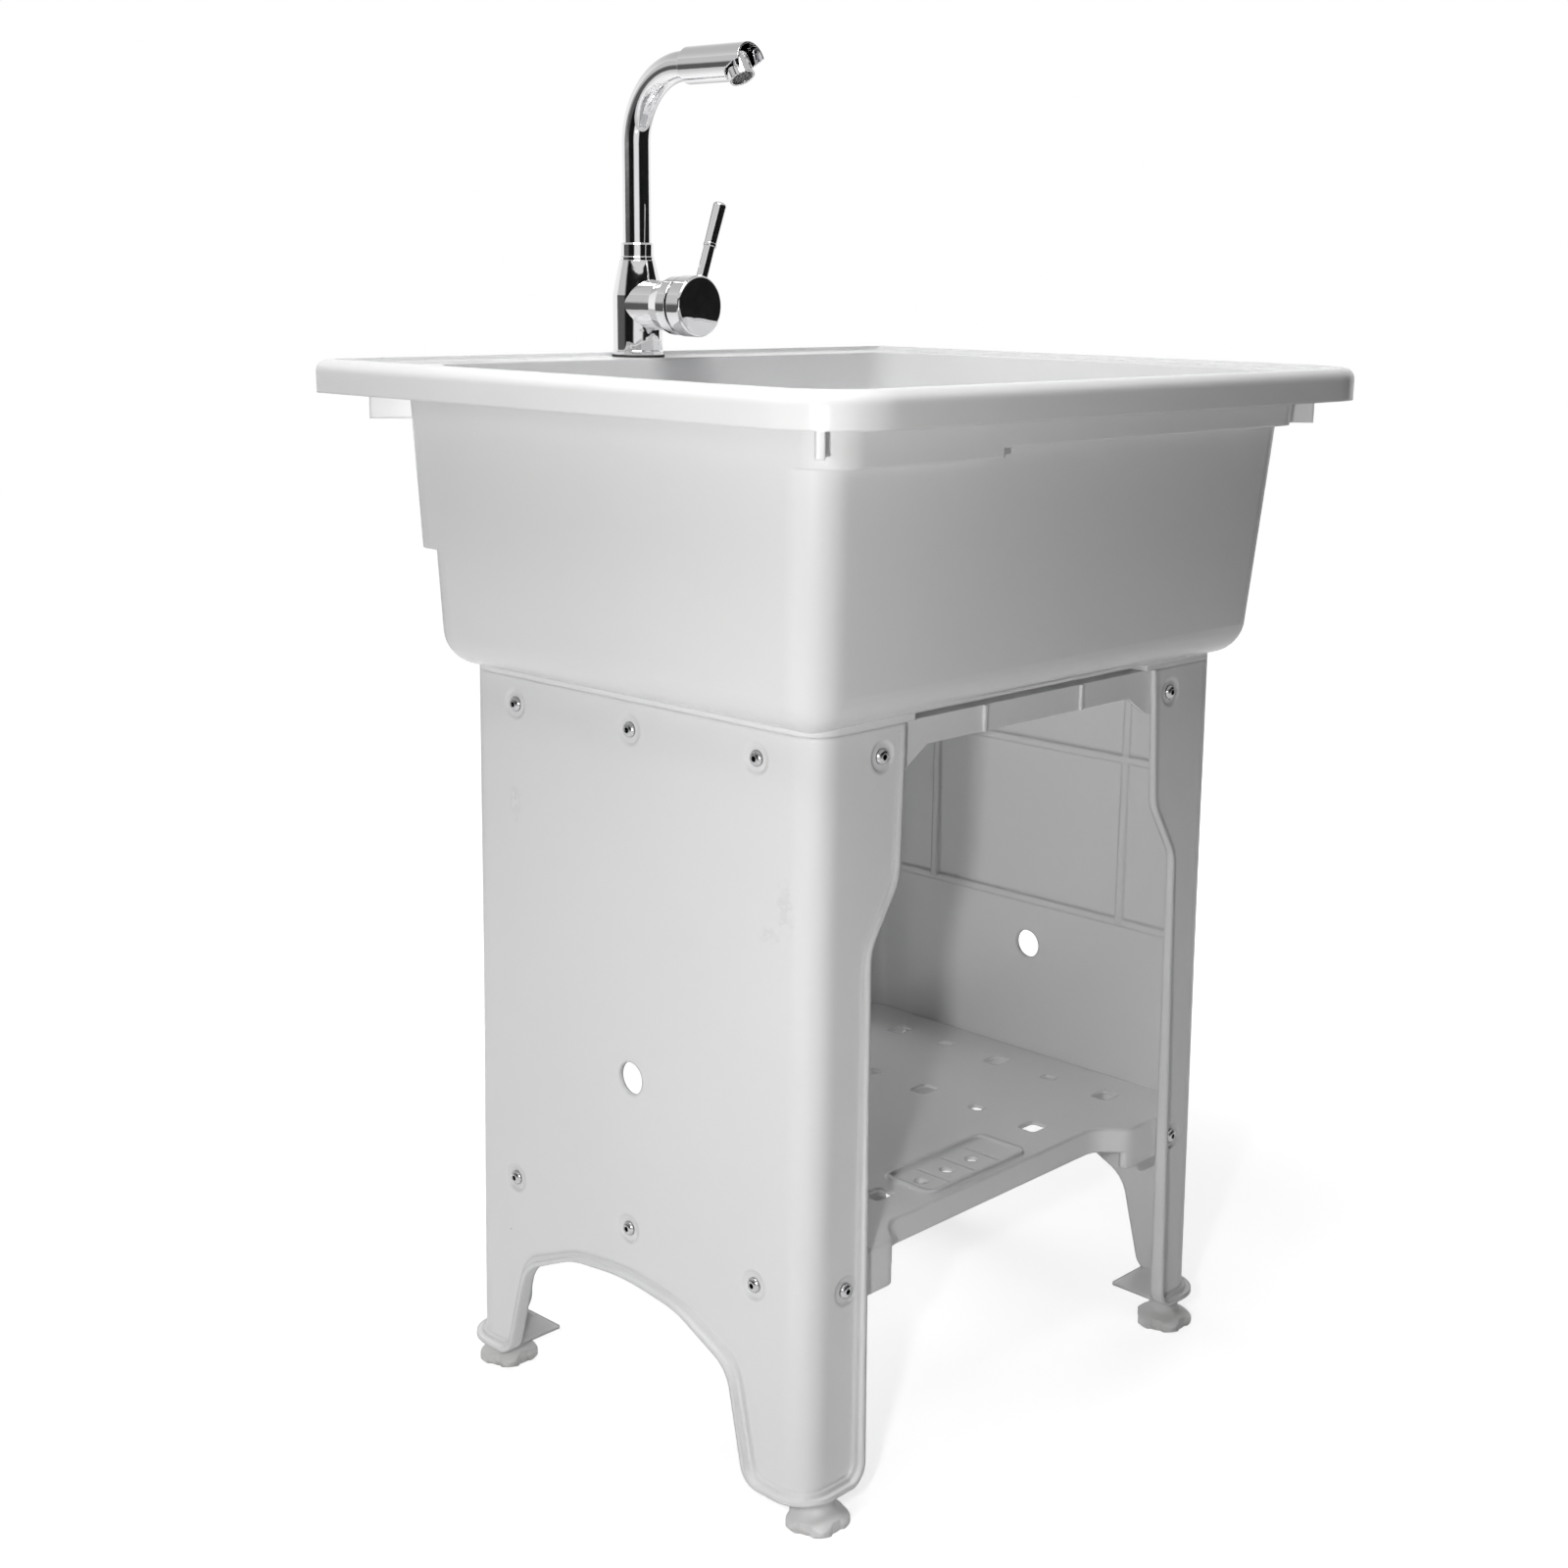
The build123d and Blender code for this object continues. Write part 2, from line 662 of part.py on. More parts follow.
# Bottom shelf: a skirted tray with drain slots and a small soap tray at the front
with BuildPart() as bottom_shelf:
    add(shelf_section(shelf_top - shelf_end_skirt, 0.0))
    extrude(amount=shelf_end_skirt)
    top_edges = bottom_shelf.faces().sort_by(Axis.Z)[-1].edges()
    fillet(top_edges, 2.5)
    add(shelf_section(shelf_top - shelf_end_skirt, shelf_plate))
    extrude(amount=shelf_end_skirt - shelf_plate, mode=Mode.SUBTRACT)
    with Locations((0, stand_mid_y, shelf_top - shelf_skirt)):
        Box(2 * shelf_wing_half - 8, 420, 40,
            align=(Align.CENTER, Align.CENTER, Align.MAX), mode=Mode.SUBTRACT)
    for line_x in (-150, -50, 50, 150):
        with Locations((line_x, stand_mid_y, shelf_top - shelf_plate)):
            Box(3, 2 * (stand_mid_y - shelf_front_y) - 5, 12, align=(Align.CENTER, Align.CENTER, Align.MAX))
    for line_y in (-92, 90):
        with Locations((0, line_y, shelf_top - shelf_plate)):
            Box(2 * shelf_half_x - 5, 3, 12, align=(Align.CENTER, Align.CENTER, Align.MAX))
    # raised rim of the soap tray
    with BuildSketch(Plane.XY.offset(shelf_top - 1)) as tray_rim:
        with Locations((tray_x, tray_y)):
            RectangleRounded(tray_length, tray_width, 10)
            RectangleRounded(tray_length - 7, tray_width - 7, 7, mode=Mode.SUBTRACT)
    extrude(amount=3.5)
    # slots, round holes and slits
    with BuildSketch(Plane.XY.offset(shelf_top + 4)) as slots:
        for line_x in (-slot_column_outer, -slot_column_inner, slot_column_inner, slot_column_outer):
            with Locations((line_x, slot_row_rear), (line_x, slot_row_middle), (line_x, slot_row_front)):
                RectangleRounded(21, 17, 4)
            with Locations((line_x, slot_small_rear), (line_x, slot_small_front)):
                RectangleRounded(12, 13, 4)
        with Locations((0, slot_row_rear), (0, slot_row_middle)):
            RectangleRounded(21, 17, 4)
        with Locations((-54, -128), (-23, -128), (8, -128)):
            Circle(5.5)
        with Locations((-38.5, -128), (-7.5, -128), (22, -128)):
            RectangleRounded(2.2, 36, 1)
    extrude(amount=-12, mode=Mode.SUBTRACT)
    # screw holes
    for side in (-1, 1):
        for offset in (-side_lower_pitch, 0, side_lower_pitch):
            with Locations(Location((side * shelf_half_x, stand_mid_y + offset, side_lower_z), (0, 90, 0))):
                Cylinder(screw_hole_radius, 6 * shelf_plate, mode=Mode.SUBTRACT)
        for run in (-1, 1):
            wing_y = stand_mid_y + run * (stand_mid_y - shelf_wing_y)
            with Locations(Location((side * return_lower_x, wing_y, return_lower_z), (90, 0, 0))):
                Cylinder(screw_hole_radius, 6 * shelf_plate, mode=Mode.SUBTRACT)
bottom_shelf.part.label = "bottom_shelf"
export_step(bottom_shelf.part, "parts/bottom_shelf.step")

# One button-head screw, its head's underside at z = 0 and its shank down -Z
with BuildPart() as screw:
    with BuildSketch(Plane.XZ) as screw_profile:
        with BuildLine():
            Line((0, 0), (head_radius, 0))
            Line((head_radius, 0), (head_radius, 1.0))
            ThreePointArc((head_radius, 1.0), (head_radius * 0.82, 2.5), (head_radius * 0.45, head_height))
            Line((head_radius * 0.45, head_height), (0, head_height))
            Line((0, head_height), (0, 0))
        make_face()
    revolve(axis=Axis.Z)
    with BuildSketch(Plane.XY):
        Circle(screw_radius)
    extrude(amount=-screw_length)
    chamfer(screw.faces().sort_by(Axis.Z)[0].edges(), 0.6)
    with BuildSketch(Plane.XY.offset(head_height)):
        RegularPolygon(hex_key_flats / 2, 6, major_radius=False)
    extrude(amount=-hex_key_depth, mode=Mode.SUBTRACT)

# One hex nut, its seating face at z = 0 and its body down -Z
with BuildPart() as nut:
    with BuildSketch(Plane.XY):
        RegularPolygon(nut_flats / 2, 6, major_radius=False)
        Circle(nut_bore_radius, mode=Mode.SUBTRACT)
    extrude(amount=-nut_thickness)

side_screw_places = []
side_nut_places = []
return_screw_places = []
return_nut_places = []
for side in (-1, 1):
    for height, pitch, inner_x in (
        (side_upper_z, side_upper_pitch, flange_x - flange_thickness / 2),
        (side_lower_z, side_lower_pitch, shelf_half_x - shelf_plate),
    ):
        for offset in (-pitch, 0, pitch):
            seat_x = side * (stand_half_x(height) - seat_depth + press_gap)
            nut_x = side * (inner_x - press_gap)
            side_screw_places.append(Location((seat_x, stand_mid_y + offset, height), (0, 90 * side, 0)))
            side_nut_places.append(Location((nut_x, stand_mid_y + offset, height), (0, 90 * side, 0)))
    for run in (-1, 1):
        rail_back = stand_mid_y - rail_face_y - rail_wall
        wing_inner = stand_mid_y - shelf_wing_y - shelf_plate
        for height, line_x, inner_y in (
            (return_upper_z, return_upper_x, rail_back),
            (return_lower_z, return_lower_x, wing_inner),
        ):
            seat_y = stand_mid_y + run * (stand_half_y(height) - seat_depth + press_gap)
            nut_y = stand_mid_y + run * (inner_y - press_gap)
            return_screw_places.append(Location((side * line_x, seat_y, height), (-90 * run, 0, 0)))
            return_nut_places.append(Location((side * line_x, nut_y, height), (-90 * run, 0, 0)))

with BuildPart() as side_screws:
    with Locations(*side_screw_places):
        add(screw.part)
side_screws.part.label = "side_screws"
export_step(side_screws.part, "parts/side_screws.step")

with BuildPart() as side_nuts:
    with Locations(*side_nut_places):
        add(nut.part)
side_nuts.part.label = "side_nuts"
export_step(side_nuts.part, "parts/side_nuts.step")

with BuildPart() as return_screws:
    with Locations(*return_screw_places):
        add(screw.part)
return_screws.part.label = "return_screws"
export_step(return_screws.part, "parts/return_screws.step")

with BuildPart() as return_nuts:
    with Locations(*return_nut_places):
        add(nut.part)
return_nuts.part.label = "return_nuts"
export_step(return_nuts.part, "parts/return_nuts.step")

# Levelling feet: a lobed pad on a threaded stud, in an insert in each leg end
foot_top = stand_bottom - 0.3
with BuildPart() as foot_pad:
    with BuildSketch(Plane.XZ) as pad_profile:
        with BuildLine():
            Line((0, foot_top), (0, 0))
            Line((0, 0), (foot_radius - 2.0, 0))
            Line((foot_radius - 2.0, 0), (foot_radius, 2.0))
            Line((foot_radius, 2.0), (foot_radius, foot_edge_height))
            Spline(
                (foot_radius, foot_edge_height),
                (foot_neck_radius + 7.5, foot_edge_height + 5.0),
                (foot_neck_radius + 1.2, foot_dome_height),
                (foot_neck_radius, foot_dome_height + 4.5),
            )
            Line((foot_neck_radius, foot_dome_height + 4.5), (foot_neck_radius, foot_top))
            Line((foot_neck_radius, foot_top), (0, foot_top))
        make_face()
    revolve(axis=Axis.Z)
    with BuildSketch(Plane.XY):
        Circle(foot_web_radius)
        with PolarLocations(foot_lobe_pitch, 5, start_angle=90):
            Circle(foot_lobe_radius)
    extrude(amount=foot_top, mode=Mode.INTERSECT)
    with Locations((0, 0, 12)):
        Cylinder(stud_radius + 0.02, 40, align=(Align.CENTER, Align.CENTER, Align.MIN), mode=Mode.SUBTRACT)

with BuildPart() as foot_stud:
    with Locations((0, 0, 12.02)):
        Cylinder(stud_radius, stud_top - 12.02, align=(Align.CENTER, Align.CENTER, Align.MIN))
    chamfer(foot_stud.faces().sort_by(Axis.Z)[-1].edges(), 0.8)

for name, side, run in (
    ("front_left", -1, -1),
    ("front_right", 1, -1),
    ("rear_left", -1, 1),
    ("rear_right", 1, 1),
):
    place = Location((side * foot_x, stand_mid_y + run * foot_y, 0))
    with BuildPart() as placed_foot:
        with Locations(place):
            add(foot_pad.part)
    placed_foot.part.label = name + "_foot"
    export_step(placed_foot.part, "parts/" + name + "_foot.step")
    with BuildPart() as placed_stud:
        with Locations(place):
            add(foot_stud.part)
    placed_stud.part.label = name + "_stud"
    export_step(placed_stud.part, "parts/" + name + "_stud.step")

with BuildPart() as foot_inserts:
    for side in (-1, 1):
        for run in (-1, 1):
            insert_z = stand_bottom + foot_plate_thickness + press_gap
            with Locations((side * foot_x, stand_mid_y + run * foot_y, insert_z)):
                Cylinder(insert_radius, insert_height, align=(Align.CENTER, Align.CENTER, Align.MIN))
                Cylinder(stud_radius + 1.3, foot_plate_thickness - 0.3,
                         align=(Align.CENTER, Align.CENTER, Align.MAX))
                Cylinder(insert_bore_radius, 60, mode=Mode.SUBTRACT)
foot_inserts.part.label = "foot_inserts"
export_step(foot_inserts.part, "parts/foot_inserts.step")

# Tap: base gasket, body with the cartridge housing, shank and fixings
tap_foot_z = deck_top + gasket_thickness
with BuildPart() as tap_gasket:
    with Locations((tap_x, tap_y, deck_top)):
        Cylinder(tap_base_radius + 0.6, gasket_thickness, align=(Align.CENTER, Align.CENTER, Align.MIN))
        Cylinder(tap_hole_radius, 6, mode=Mode.SUBTRACT)
tap_gasket.part.label = "tap_gasket"
export_step(tap_gasket.part, "parts/tap_gasket.step")

shank_radius = 12.0
shank_bore_radius = 9.5
shank_bottom = 772.0
inlet_top = 842.0
inlet_flare_top = 768.0
inlet_flare_bottom = 734.0
inlet_bottom = 704.0
inlet_spread = 16.0
inlet_radius = 4.4
inlet_bore_radius = 2.6
inlet_pitch = 4.7
socket_radius = 13.0
socket_bottom = 884.0
cartridge_radius = 17.2
cartridge_bore_radius = 17.3
cartridge_rear_y = 207.0
housing_mouth_y = 178.2
with BuildPart() as tap_body:
    with BuildSketch(Plane.XZ) as body_profile:
        with BuildLine():
            Polyline(
                (0, tap_foot_z),
                (tap_base_radius, tap_foot_z),
                (tap_base_radius, tap_foot_z + 3),
                (tap_body_radius, tap_foot_z + 4),
                (tap_body_radius, tap_shoulder_z),
            )
            Spline((tap_body_radius, tap_shoulder_z), (18.0, 891.0), (collar_radius + 1.2, collar_bottom_z))
            Line((collar_radius + 1.2, collar_bottom_z), (0, collar_bottom_z))
            Line((0, collar_bottom_z), (0, tap_foot_z))
        make_face()
    revolve(axis=Axis.Z)
    with BuildSketch(Plane.XY) as housing_profile:
        with BuildLine():
            Polyline(
                (0, 0),
                (housing_radius, 0),
                (housing_radius, -(tap_y - 200.0)),
                (cap_radius - 1.0, -(tap_y - 188.0)),
                (cap_radius - 1.0, -(tap_y - housing_mouth_y)),
                (0, -(tap_y - housing_mouth_y)),
                close=True,
            )
        make_face()
tap_barrel = revolve(housing_profile.sketch, axis=Axis.Y)
with BuildPart() as tap_body_moved:
    with Locations((tap_x, tap_y, 0)):
        add(tap_body.part)
    with Locations((tap_x, tap_y, housing_z)):
        add(tap_barrel)
    with Locations(Location((tap_x, housing_mouth_y, housing_z), (-90, 0, 0))):
        Cylinder(cartridge_bore_radius, cartridge_rear_y - housing_mouth_y,
                 align=(Align.CENTER, Align.CENTER, Align.MIN), mode=Mode.SUBTRACT)
    with Locations((tap_x, tap_y, 0)):
        with Locations((0, 0, socket_bottom)):
            Cylinder(socket_radius, 60, align=(Align.CENTER, Align.CENTER, Align.MIN), mode=Mode.SUBTRACT)
        with Locations((0, 0, tap_foot_z)):
            Cylinder(shank_bore_radius, inlet_top - tap_foot_z + 1.0,
                     align=(Align.CENTER, Align.CENTER, Align.MIN), mode=Mode.SUBTRACT)
tap_body_moved.part.label = "tap_body"
export_step(tap_body_moved.part, "parts/tap_body.step")

with BuildPart() as tap_shank:
    with Locations((tap_x, tap_y, tap_foot_z - 0.02)):
        Cylinder(shank_radius, tap_foot_z - shank_bottom, align=(Align.CENTER, Align.CENTER, Align.MAX))
        Cylinder(shank_bore_radius, 200, mode=Mode.SUBTRACT)
tap_shank.part.label = "tap_shank"
export_step(tap_shank.part, "parts/tap_shank.step")

washer_thickness = 2.5
washer_radius = 20.5
mount_nut_height = 9.0
mount_nut_half_flats = 17.0
with BuildPart() as tap_washer:
    with Locations((tap_x, tap_y, deck_under - 0.02)):
        Cylinder(washer_radius, washer_thickness, align=(Align.CENTER, Align.CENTER, Align.MAX))
        Cylinder(shank_radius + 0.3, 20, mode=Mode.SUBTRACT)
tap_washer.part.label = "tap_washer"
export_step(tap_washer.part, "parts/tap_washer.step")

with BuildPart() as tap_nut:
    with BuildSketch(Plane.XY.offset(deck_under - washer_thickness - 0.04)):
        with Locations((tap_x, tap_y)):
            RegularPolygon(mount_nut_half_flats, 6, major_radius=False)
            Circle(shank_radius + thread_gap, mode=Mode.SUBTRACT)
    extrude(amount=-mount_nut_height)
tap_nut.part.label = "tap_nut"
export_step(tap_nut.part, "parts/tap_nut.step")

with BuildPart() as inlet_tails:
    for side in (-1, 1):
        inner_x = tap_x + side * inlet_pitch
        outer_x = tap_x + side * inlet_spread
        with BuildLine() as tail_path:
            Line((inner_x, tap_y, inlet_top), (inner_x, tap_y, inlet_flare_top))
            Spline(
                (inner_x, tap_y, inlet_flare_top),
                (outer_x, tap_y, inlet_flare_bottom),
                tangents=((0, 0, -1), (0, 0, -1)),
            )
            Line((outer_x, tap_y, inlet_flare_bottom), (outer_x, tap_y, inlet_bottom))
        with BuildSketch(Plane.XY.offset(inlet_top)):
            with Locations((inner_x, tap_y)):
                Circle(inlet_radius)
                Circle(inlet_bore_radius, mode=Mode.SUBTRACT)
        sweep(path=tail_path.line)
inlet_tails.part.label = "inlet_tails"
export_step(inlet_tails.part, "parts/inlet_tails.step")

# Tap: spout bushing and collar, fixed in the body
with BuildPart() as spout_bushing:
    with Locations((tap_x, tap_y, socket_bottom + 0.02)):
        Cylinder(socket_radius - 0.05, collar_bottom_z - socket_bottom - 0.1,
                 align=(Align.CENTER, Align.CENTER, Align.MIN))
        Cylinder(tube_radius + thread_gap, 80, mode=Mode.SUBTRACT)
spout_bushing.part.label = "spout_bushing"
export_step(spout_bushing.part, "parts/spout_bushing.step")

with BuildPart() as spout_collar:
    with BuildSketch(Plane.XZ) as collar_profile:
        with BuildLine():
            Polyline(
                (tube_radius + thread_gap, collar_bottom_z + 0.02),
                (collar_radius + 0.6, collar_bottom_z + 0.02),
                (collar_radius + 0.6, collar_bottom_z + 2.5),
                (collar_radius, collar_bottom_z + 3.2),
                (collar_radius, collar_top_z - 1.5),
                (collar_radius - 0.8, collar_top_z),
                (tube_radius + thread_gap, collar_top_z),
                close=True,
            )
        make_face()
    revolve(axis=Axis.Z)
collar_placed = Location((tap_x, tap_y, 0)) * spout_collar.part
collar_placed.label = "spout_collar"
export_step(collar_placed, "parts/spout_collar.step")

# Tap: the swivelling spout
spout_axis_z = 1054.3
spout_bend = 57.0
sleeve_rear_y = 171.0
tube_end_y = 152.0
half_bend = spout_bend * (1 - cos(radians(45)))
with BuildPart() as spout_tube:
    with BuildLine() as tube_path:
        Line((tap_x, tap_y, socket_bottom + 0.5), (tap_x, tap_y, spout_axis_z - spout_bend))
        ThreePointArc(
            (tap_x, tap_y, spout_axis_z - spout_bend),
            (tap_x, tap_y - half_bend, spout_axis_z - half_bend),
            (tap_x, tap_y - spout_bend, spout_axis_z),
        )
        Line((tap_x, tap_y - spout_bend, spout_axis_z), (tap_x, tube_end_y, spout_axis_z))
    with BuildSketch(Plane.XY.offset(socket_bottom + 0.5)):
        with Locations((tap_x, tap_y)):
            Circle(tube_radius)
            Circle(tube_bore_radius, mode=Mode.SUBTRACT)
    sweep(path=tube_path.line)
spout_tube.part.label = "spout_tube"
export_step(spout_tube.part, "parts/spout_tube.step")

sleeve_bore_radius = 13.0
sleeve_stop_y = 151.0
hood_top_y = 104.5
hood_corner_y = 101.8
hood_corner_rise = 2.4
hood_notch_y = 118.0
hood_notch_drop = 5.8
hood_under_y = 122.6
aerator_tilt = 31.0
aerator_outlet = (tap_x, 111.1, spout_axis_z - 12.2)
aerator_radius = 10.4
aerator_plane = Plane(
    aerator_outlet,
    x_dir=(1, 0, 0),
    z_dir=(0, sin(radians(aerator_tilt)), cos(radians(aerator_tilt))),
)
with BuildPart() as spout_sleeve:
    with Locations(Location((tap_x, sleeve_rear_y, spout_axis_z), (90, 0, 0))):
        Cylinder(sleeve_radius, 90, align=(Align.CENTER, Align.CENTER, Align.MIN))
    chamfer(spout_sleeve.faces().sort_by(Axis.Y)[-1].edges(), 0.8)
    with Locations(Location((tap_x, sleeve_rear_y, spout_axis_z), (90, 0, 0))):
        Cylinder(tube_radius + 0.05, 60, mode=Mode.SUBTRACT)
    with Locations(Location((tap_x, sleeve_stop_y, spout_axis_z), (90, 0, 0))):
        Cylinder(sleeve_bore_radius, 90, align=(Align.CENTER, Align.CENTER, Align.MIN), mode=Mode.SUBTRACT)
    with BuildSketch(Plane.YZ.offset(tap_x)) as hood_side:
        with BuildLine():
            Polyline(
                (sleeve_rear_y + 9, spout_axis_z - 2 * sleeve_radius),
                (sleeve_rear_y + 9, spout_axis_z + 2 * sleeve_radius),
                (hood_top_y, spout_axis_z + 2 * sleeve_radius),
                (hood_top_y, spout_axis_z + sleeve_radius),
                (hood_corner_y, spout_axis_z + hood_corner_rise),
                (hood_notch_y, spout_axis_z - hood_notch_drop),
                (hood_under_y, spout_axis_z - sleeve_radius),
                (hood_under_y, spout_axis_z - 2 * sleeve_radius),
                close=True,
            )
        make_face()
    extrude(amount=2 * sleeve_radius, both=True, mode=Mode.INTERSECT)
    with BuildSketch(aerator_plane.offset(-6)):
        Circle(aerator_radius + press_gap)
    extrude(amount=14, mode=Mode.SUBTRACT)
spout_sleeve.part.label = "spout_sleeve"
export_step(spout_sleeve.part, "parts/spout_sleeve.step")

with BuildPart() as aerator_housing:
    with Locations(Location((tap_x, sleeve_stop_y - 0.3, spout_axis_z), (90, 0, 0))):
        Cylinder(sleeve_bore_radius - 0.04, 15, align=(Align.CENTER, Align.CENTER, Align.MIN))
    with BuildSketch(aerator_plane):
        Circle(aerator_radius)
    extrude(amount=17)
    with BuildSketch(Plane.YZ.offset(tap_x)):
        with Locations((128, spout_axis_z)):
            Rectangle(20, 12)
    extrude(amount=6, both=True)
    with BuildSketch(aerator_plane):
        Circle(aerator_radius - 1.8)
    extrude(amount=9, mode=Mode.SUBTRACT)
    with Locations(Location((tap_x, sleeve_stop_y, spout_axis_z), (90, 0, 0))):
        Cylinder(4, 30, align=(Align.CENTER, Align.CENTER, Align.MIN), mode=Mode.SUBTRACT)
aerator_housing.part.label = "aerator_housing"
export_step(aerator_housing.part, "parts/aerator_housing.step")

with BuildPart() as aerator_screen:
    with BuildSketch(aerator_plane.offset(1.2)):
        Circle(aerator_radius - 1.85)
        with PolarLocations(3.0, 6):
            Circle(0.8, mode=Mode.SUBTRACT)
        with PolarLocations(6.2, 12):
            Circle(0.8, mode=Mode.SUBTRACT)
    extrude(amount=1.6)
aerator_screen.part.label = "aerator_screen"
export_step(aerator_screen.part, "parts/aerator_screen.step")

# Tap: cartridge, retaining ring, stem and lever
stem_radius = 5.95
stem_bore_radius = 6.0
stem_front_y = 176.6
stem_rear_y = 190.0
ring_front_y = 179.0
ring_rear_y = 184.0
lever_turn = 19.7
turned = (
    Location((tap_x, 0, housing_z))
    * Location((0, 0, 0), (0, lever_turn, 0))
    * Location((-tap_x, 0, -housing_z))
)


def along_y(front_y, height):
    """A place on the lever's side axis whose +Z runs toward the back of the sink."""
    return Location((tap_x, front_y, height), (-90, 0, 0))


with BuildPart() as cartridge:
    with Locations(along_y(ring_rear_y + 0.02, housing_z)):
        Cylinder(cartridge_radius, cartridge_rear_y - ring_rear_y - 0.1,
                 align=(Align.CENTER, Align.CENTER, Align.MIN))
    with Locations(along_y(ring_rear_y, housing_z)):
        Cylinder(stem_bore_radius, stem_rear_y - ring_rear_y + 0.3,
                 align=(Align.CENTER, Align.CENTER, Align.MIN), mode=Mode.SUBTRACT)
cartridge.part.label = "cartridge"
export_step(cartridge.part, "parts/cartridge.step")

with BuildPart() as cartridge_ring:
    with Locations(along_y(ring_front_y, housing_z)):
        Cylinder(cartridge_radius, ring_rear_y - ring_front_y, align=(Align.CENTER, Align.CENTER, Align.MIN))
        Cylinder(stem_bore_radius, 40, mode=Mode.SUBTRACT)
cartridge_ring.part.label = "cartridge_ring"
export_step(cartridge_ring.part, "parts/cartridge_ring.step")

tongue_thickness = 5.0
tongue_half_width = 6.0
tongue_top = 877.5
pin_y = stem_front_y - tongue_thickness / 2
pin_z = 852.5
pin_radius = 2.0
pin_half_length = 11.0
with BuildPart() as cartridge_stem:
    with Locations(along_y(stem_front_y, housing_z)):
        Cylinder(stem_radius, stem_rear_y - stem_front_y, align=(Align.CENTER, Align.CENTER, Align.MIN))
    with Locations((tap_x, pin_y, (tongue_top + pin_z) / 2)):
        Box(2 * tongue_half_width, tongue_thickness, tongue_top - pin_z)
    with Locations(Location((tap_x, pin_y, pin_z), (0, 90, 0))):
        Cylinder(tongue_thickness / 2, 2 * tongue_half_width)
        Cylinder(pin_radius + 0.05, 60, mode=Mode.SUBTRACT)
cartridge_stem_turned = turned * cartridge_stem.part
cartridge_stem_turned.label = "cartridge_stem"
export_step(cartridge_stem_turned, "parts/cartridge_stem.step")

slot_side_gap = 0.4
slot_front_gap = 1.0
cap_face_y = 159.0
lever_y = 166.0
rod_start = 12.6
rod_end = 49.8
ring_end = 52.2
grip_end = 86.1
lever_plane = Plane((tap_x, lever_y, housing_z), x_dir=(1, 0, 0), z_dir=(0, 0, 1))
with BuildPart() as lever_cap:
    with Locations(along_y(cap_face_y, housing_z)):
        Cylinder(cap_radius, cap_rear_y - cap_face_y, align=(Align.CENTER, Align.CENTER, Align.MIN))
    fillet(lever_cap.faces().sort_by(Axis.Y)[0].edges(), 2.2)
    chamfer(lever_cap.faces().sort_by(Axis.Y)[-1].edges(), 3.0)
    with Locations((tap_x, cap_rear_y, pin_z - tongue_thickness)):
        Box(
            2 * (tongue_half_width + slot_side_gap),
            2 * (cap_rear_y - stem_front_y + tongue_thickness + slot_front_gap),
            tongue_top + 3 - pin_z + tongue_thickness,
            align=(Align.CENTER, Align.CENTER, Align.MIN),
            mode=Mode.SUBTRACT,
        )
    with Locations(Location((tap_x, pin_y, pin_z), (0, 90, 0))):
        Cylinder(pin_radius + 0.02, 2 * pin_half_length + 0.2, mode=Mode.SUBTRACT)
    with BuildSketch(lever_plane.offset(rod_start)):
        Circle(lever_rod_radius + press_gap)
    extrude(amount=2 * cap_radius, mode=Mode.SUBTRACT)
lever_cap_turned = turned * lever_cap.part
lever_cap_turned.label = "lever_cap"
export_step(lever_cap_turned, "parts/lever_cap.step")

with BuildPart() as lever_pin:
    with Locations(Location((tap_x, pin_y, pin_z), (0, 90, 0))):
        Cylinder(pin_radius, 2 * pin_half_length)
lever_pin_turned = turned * lever_pin.part
lever_pin_turned.label = "lever_pin"
export_step(lever_pin_turned, "parts/lever_pin.step")

with BuildPart() as lever_rod:
    with BuildSketch(lever_plane.offset(rod_start + 0.1)):
        Circle(lever_rod_radius)
    extrude(amount=rod_end - rod_start - 0.1)
lever_rod_turned = turned * lever_rod.part
lever_rod_turned.label = "lever_rod"
export_step(lever_rod_turned, "parts/lever_rod.step")

with BuildPart() as lever_ring:
    with BuildSketch(lever_plane.offset(rod_end + 0.02)):
        Circle(lever_grip_radius + 0.3)
    extrude(amount=ring_end - rod_end - 0.04)
lever_ring_turned = turned * lever_ring.part
lever_ring_turned.label = "lever_ring"
export_step(lever_ring_turned, "parts/lever_ring.step")

with BuildPart() as lever_grip:
    with BuildSketch(lever_plane.offset(ring_end)):
        Circle(lever_grip_radius)
    extrude(amount=grip_end - ring_end, taper=-lever_grip_taper)
    fillet(lever_grip.faces().sort_by(Axis.Z)[-1].edges(), 2.5)
lever_grip_turned = turned * lever_grip.part
lever_grip_turned.label = "lever_grip"
export_step(lever_grip_turned, "parts/lever_grip.step")

# Waste: flange, seal, locknut, tailpiece, slip nut and lift-out basket
seat_z = floor_top - floor_fall - waste_seat_depth
basket_seat_z = seat_z + waste_edge_height
with BuildPart() as waste_flange:
    with BuildSketch(Plane.XZ) as flange_profile:
        with BuildLine():
            Polyline(
                (cup_bore_radius, waste_body_bottom),
                (waste_body_radius, waste_body_bottom),
                (waste_body_radius, seat_z + press_gap),
                (strainer_flange_radius, seat_z + press_gap),
                (strainer_flange_radius, seat_z + waste_edge_height),
                (strainer_flange_radius - 2, seat_z + waste_flange_height),
                (basket_rim_radius + 1.2, seat_z + waste_flange_height),
                (basket_rim_radius + 0.6, basket_seat_z),
                (cup_bore_radius, basket_seat_z),
                close=True,
            )
        make_face()
    revolve(axis=Axis.Z)
waste_flange.part.label = "waste_flange"
export_step(waste_flange.part, "parts/waste_flange.step")

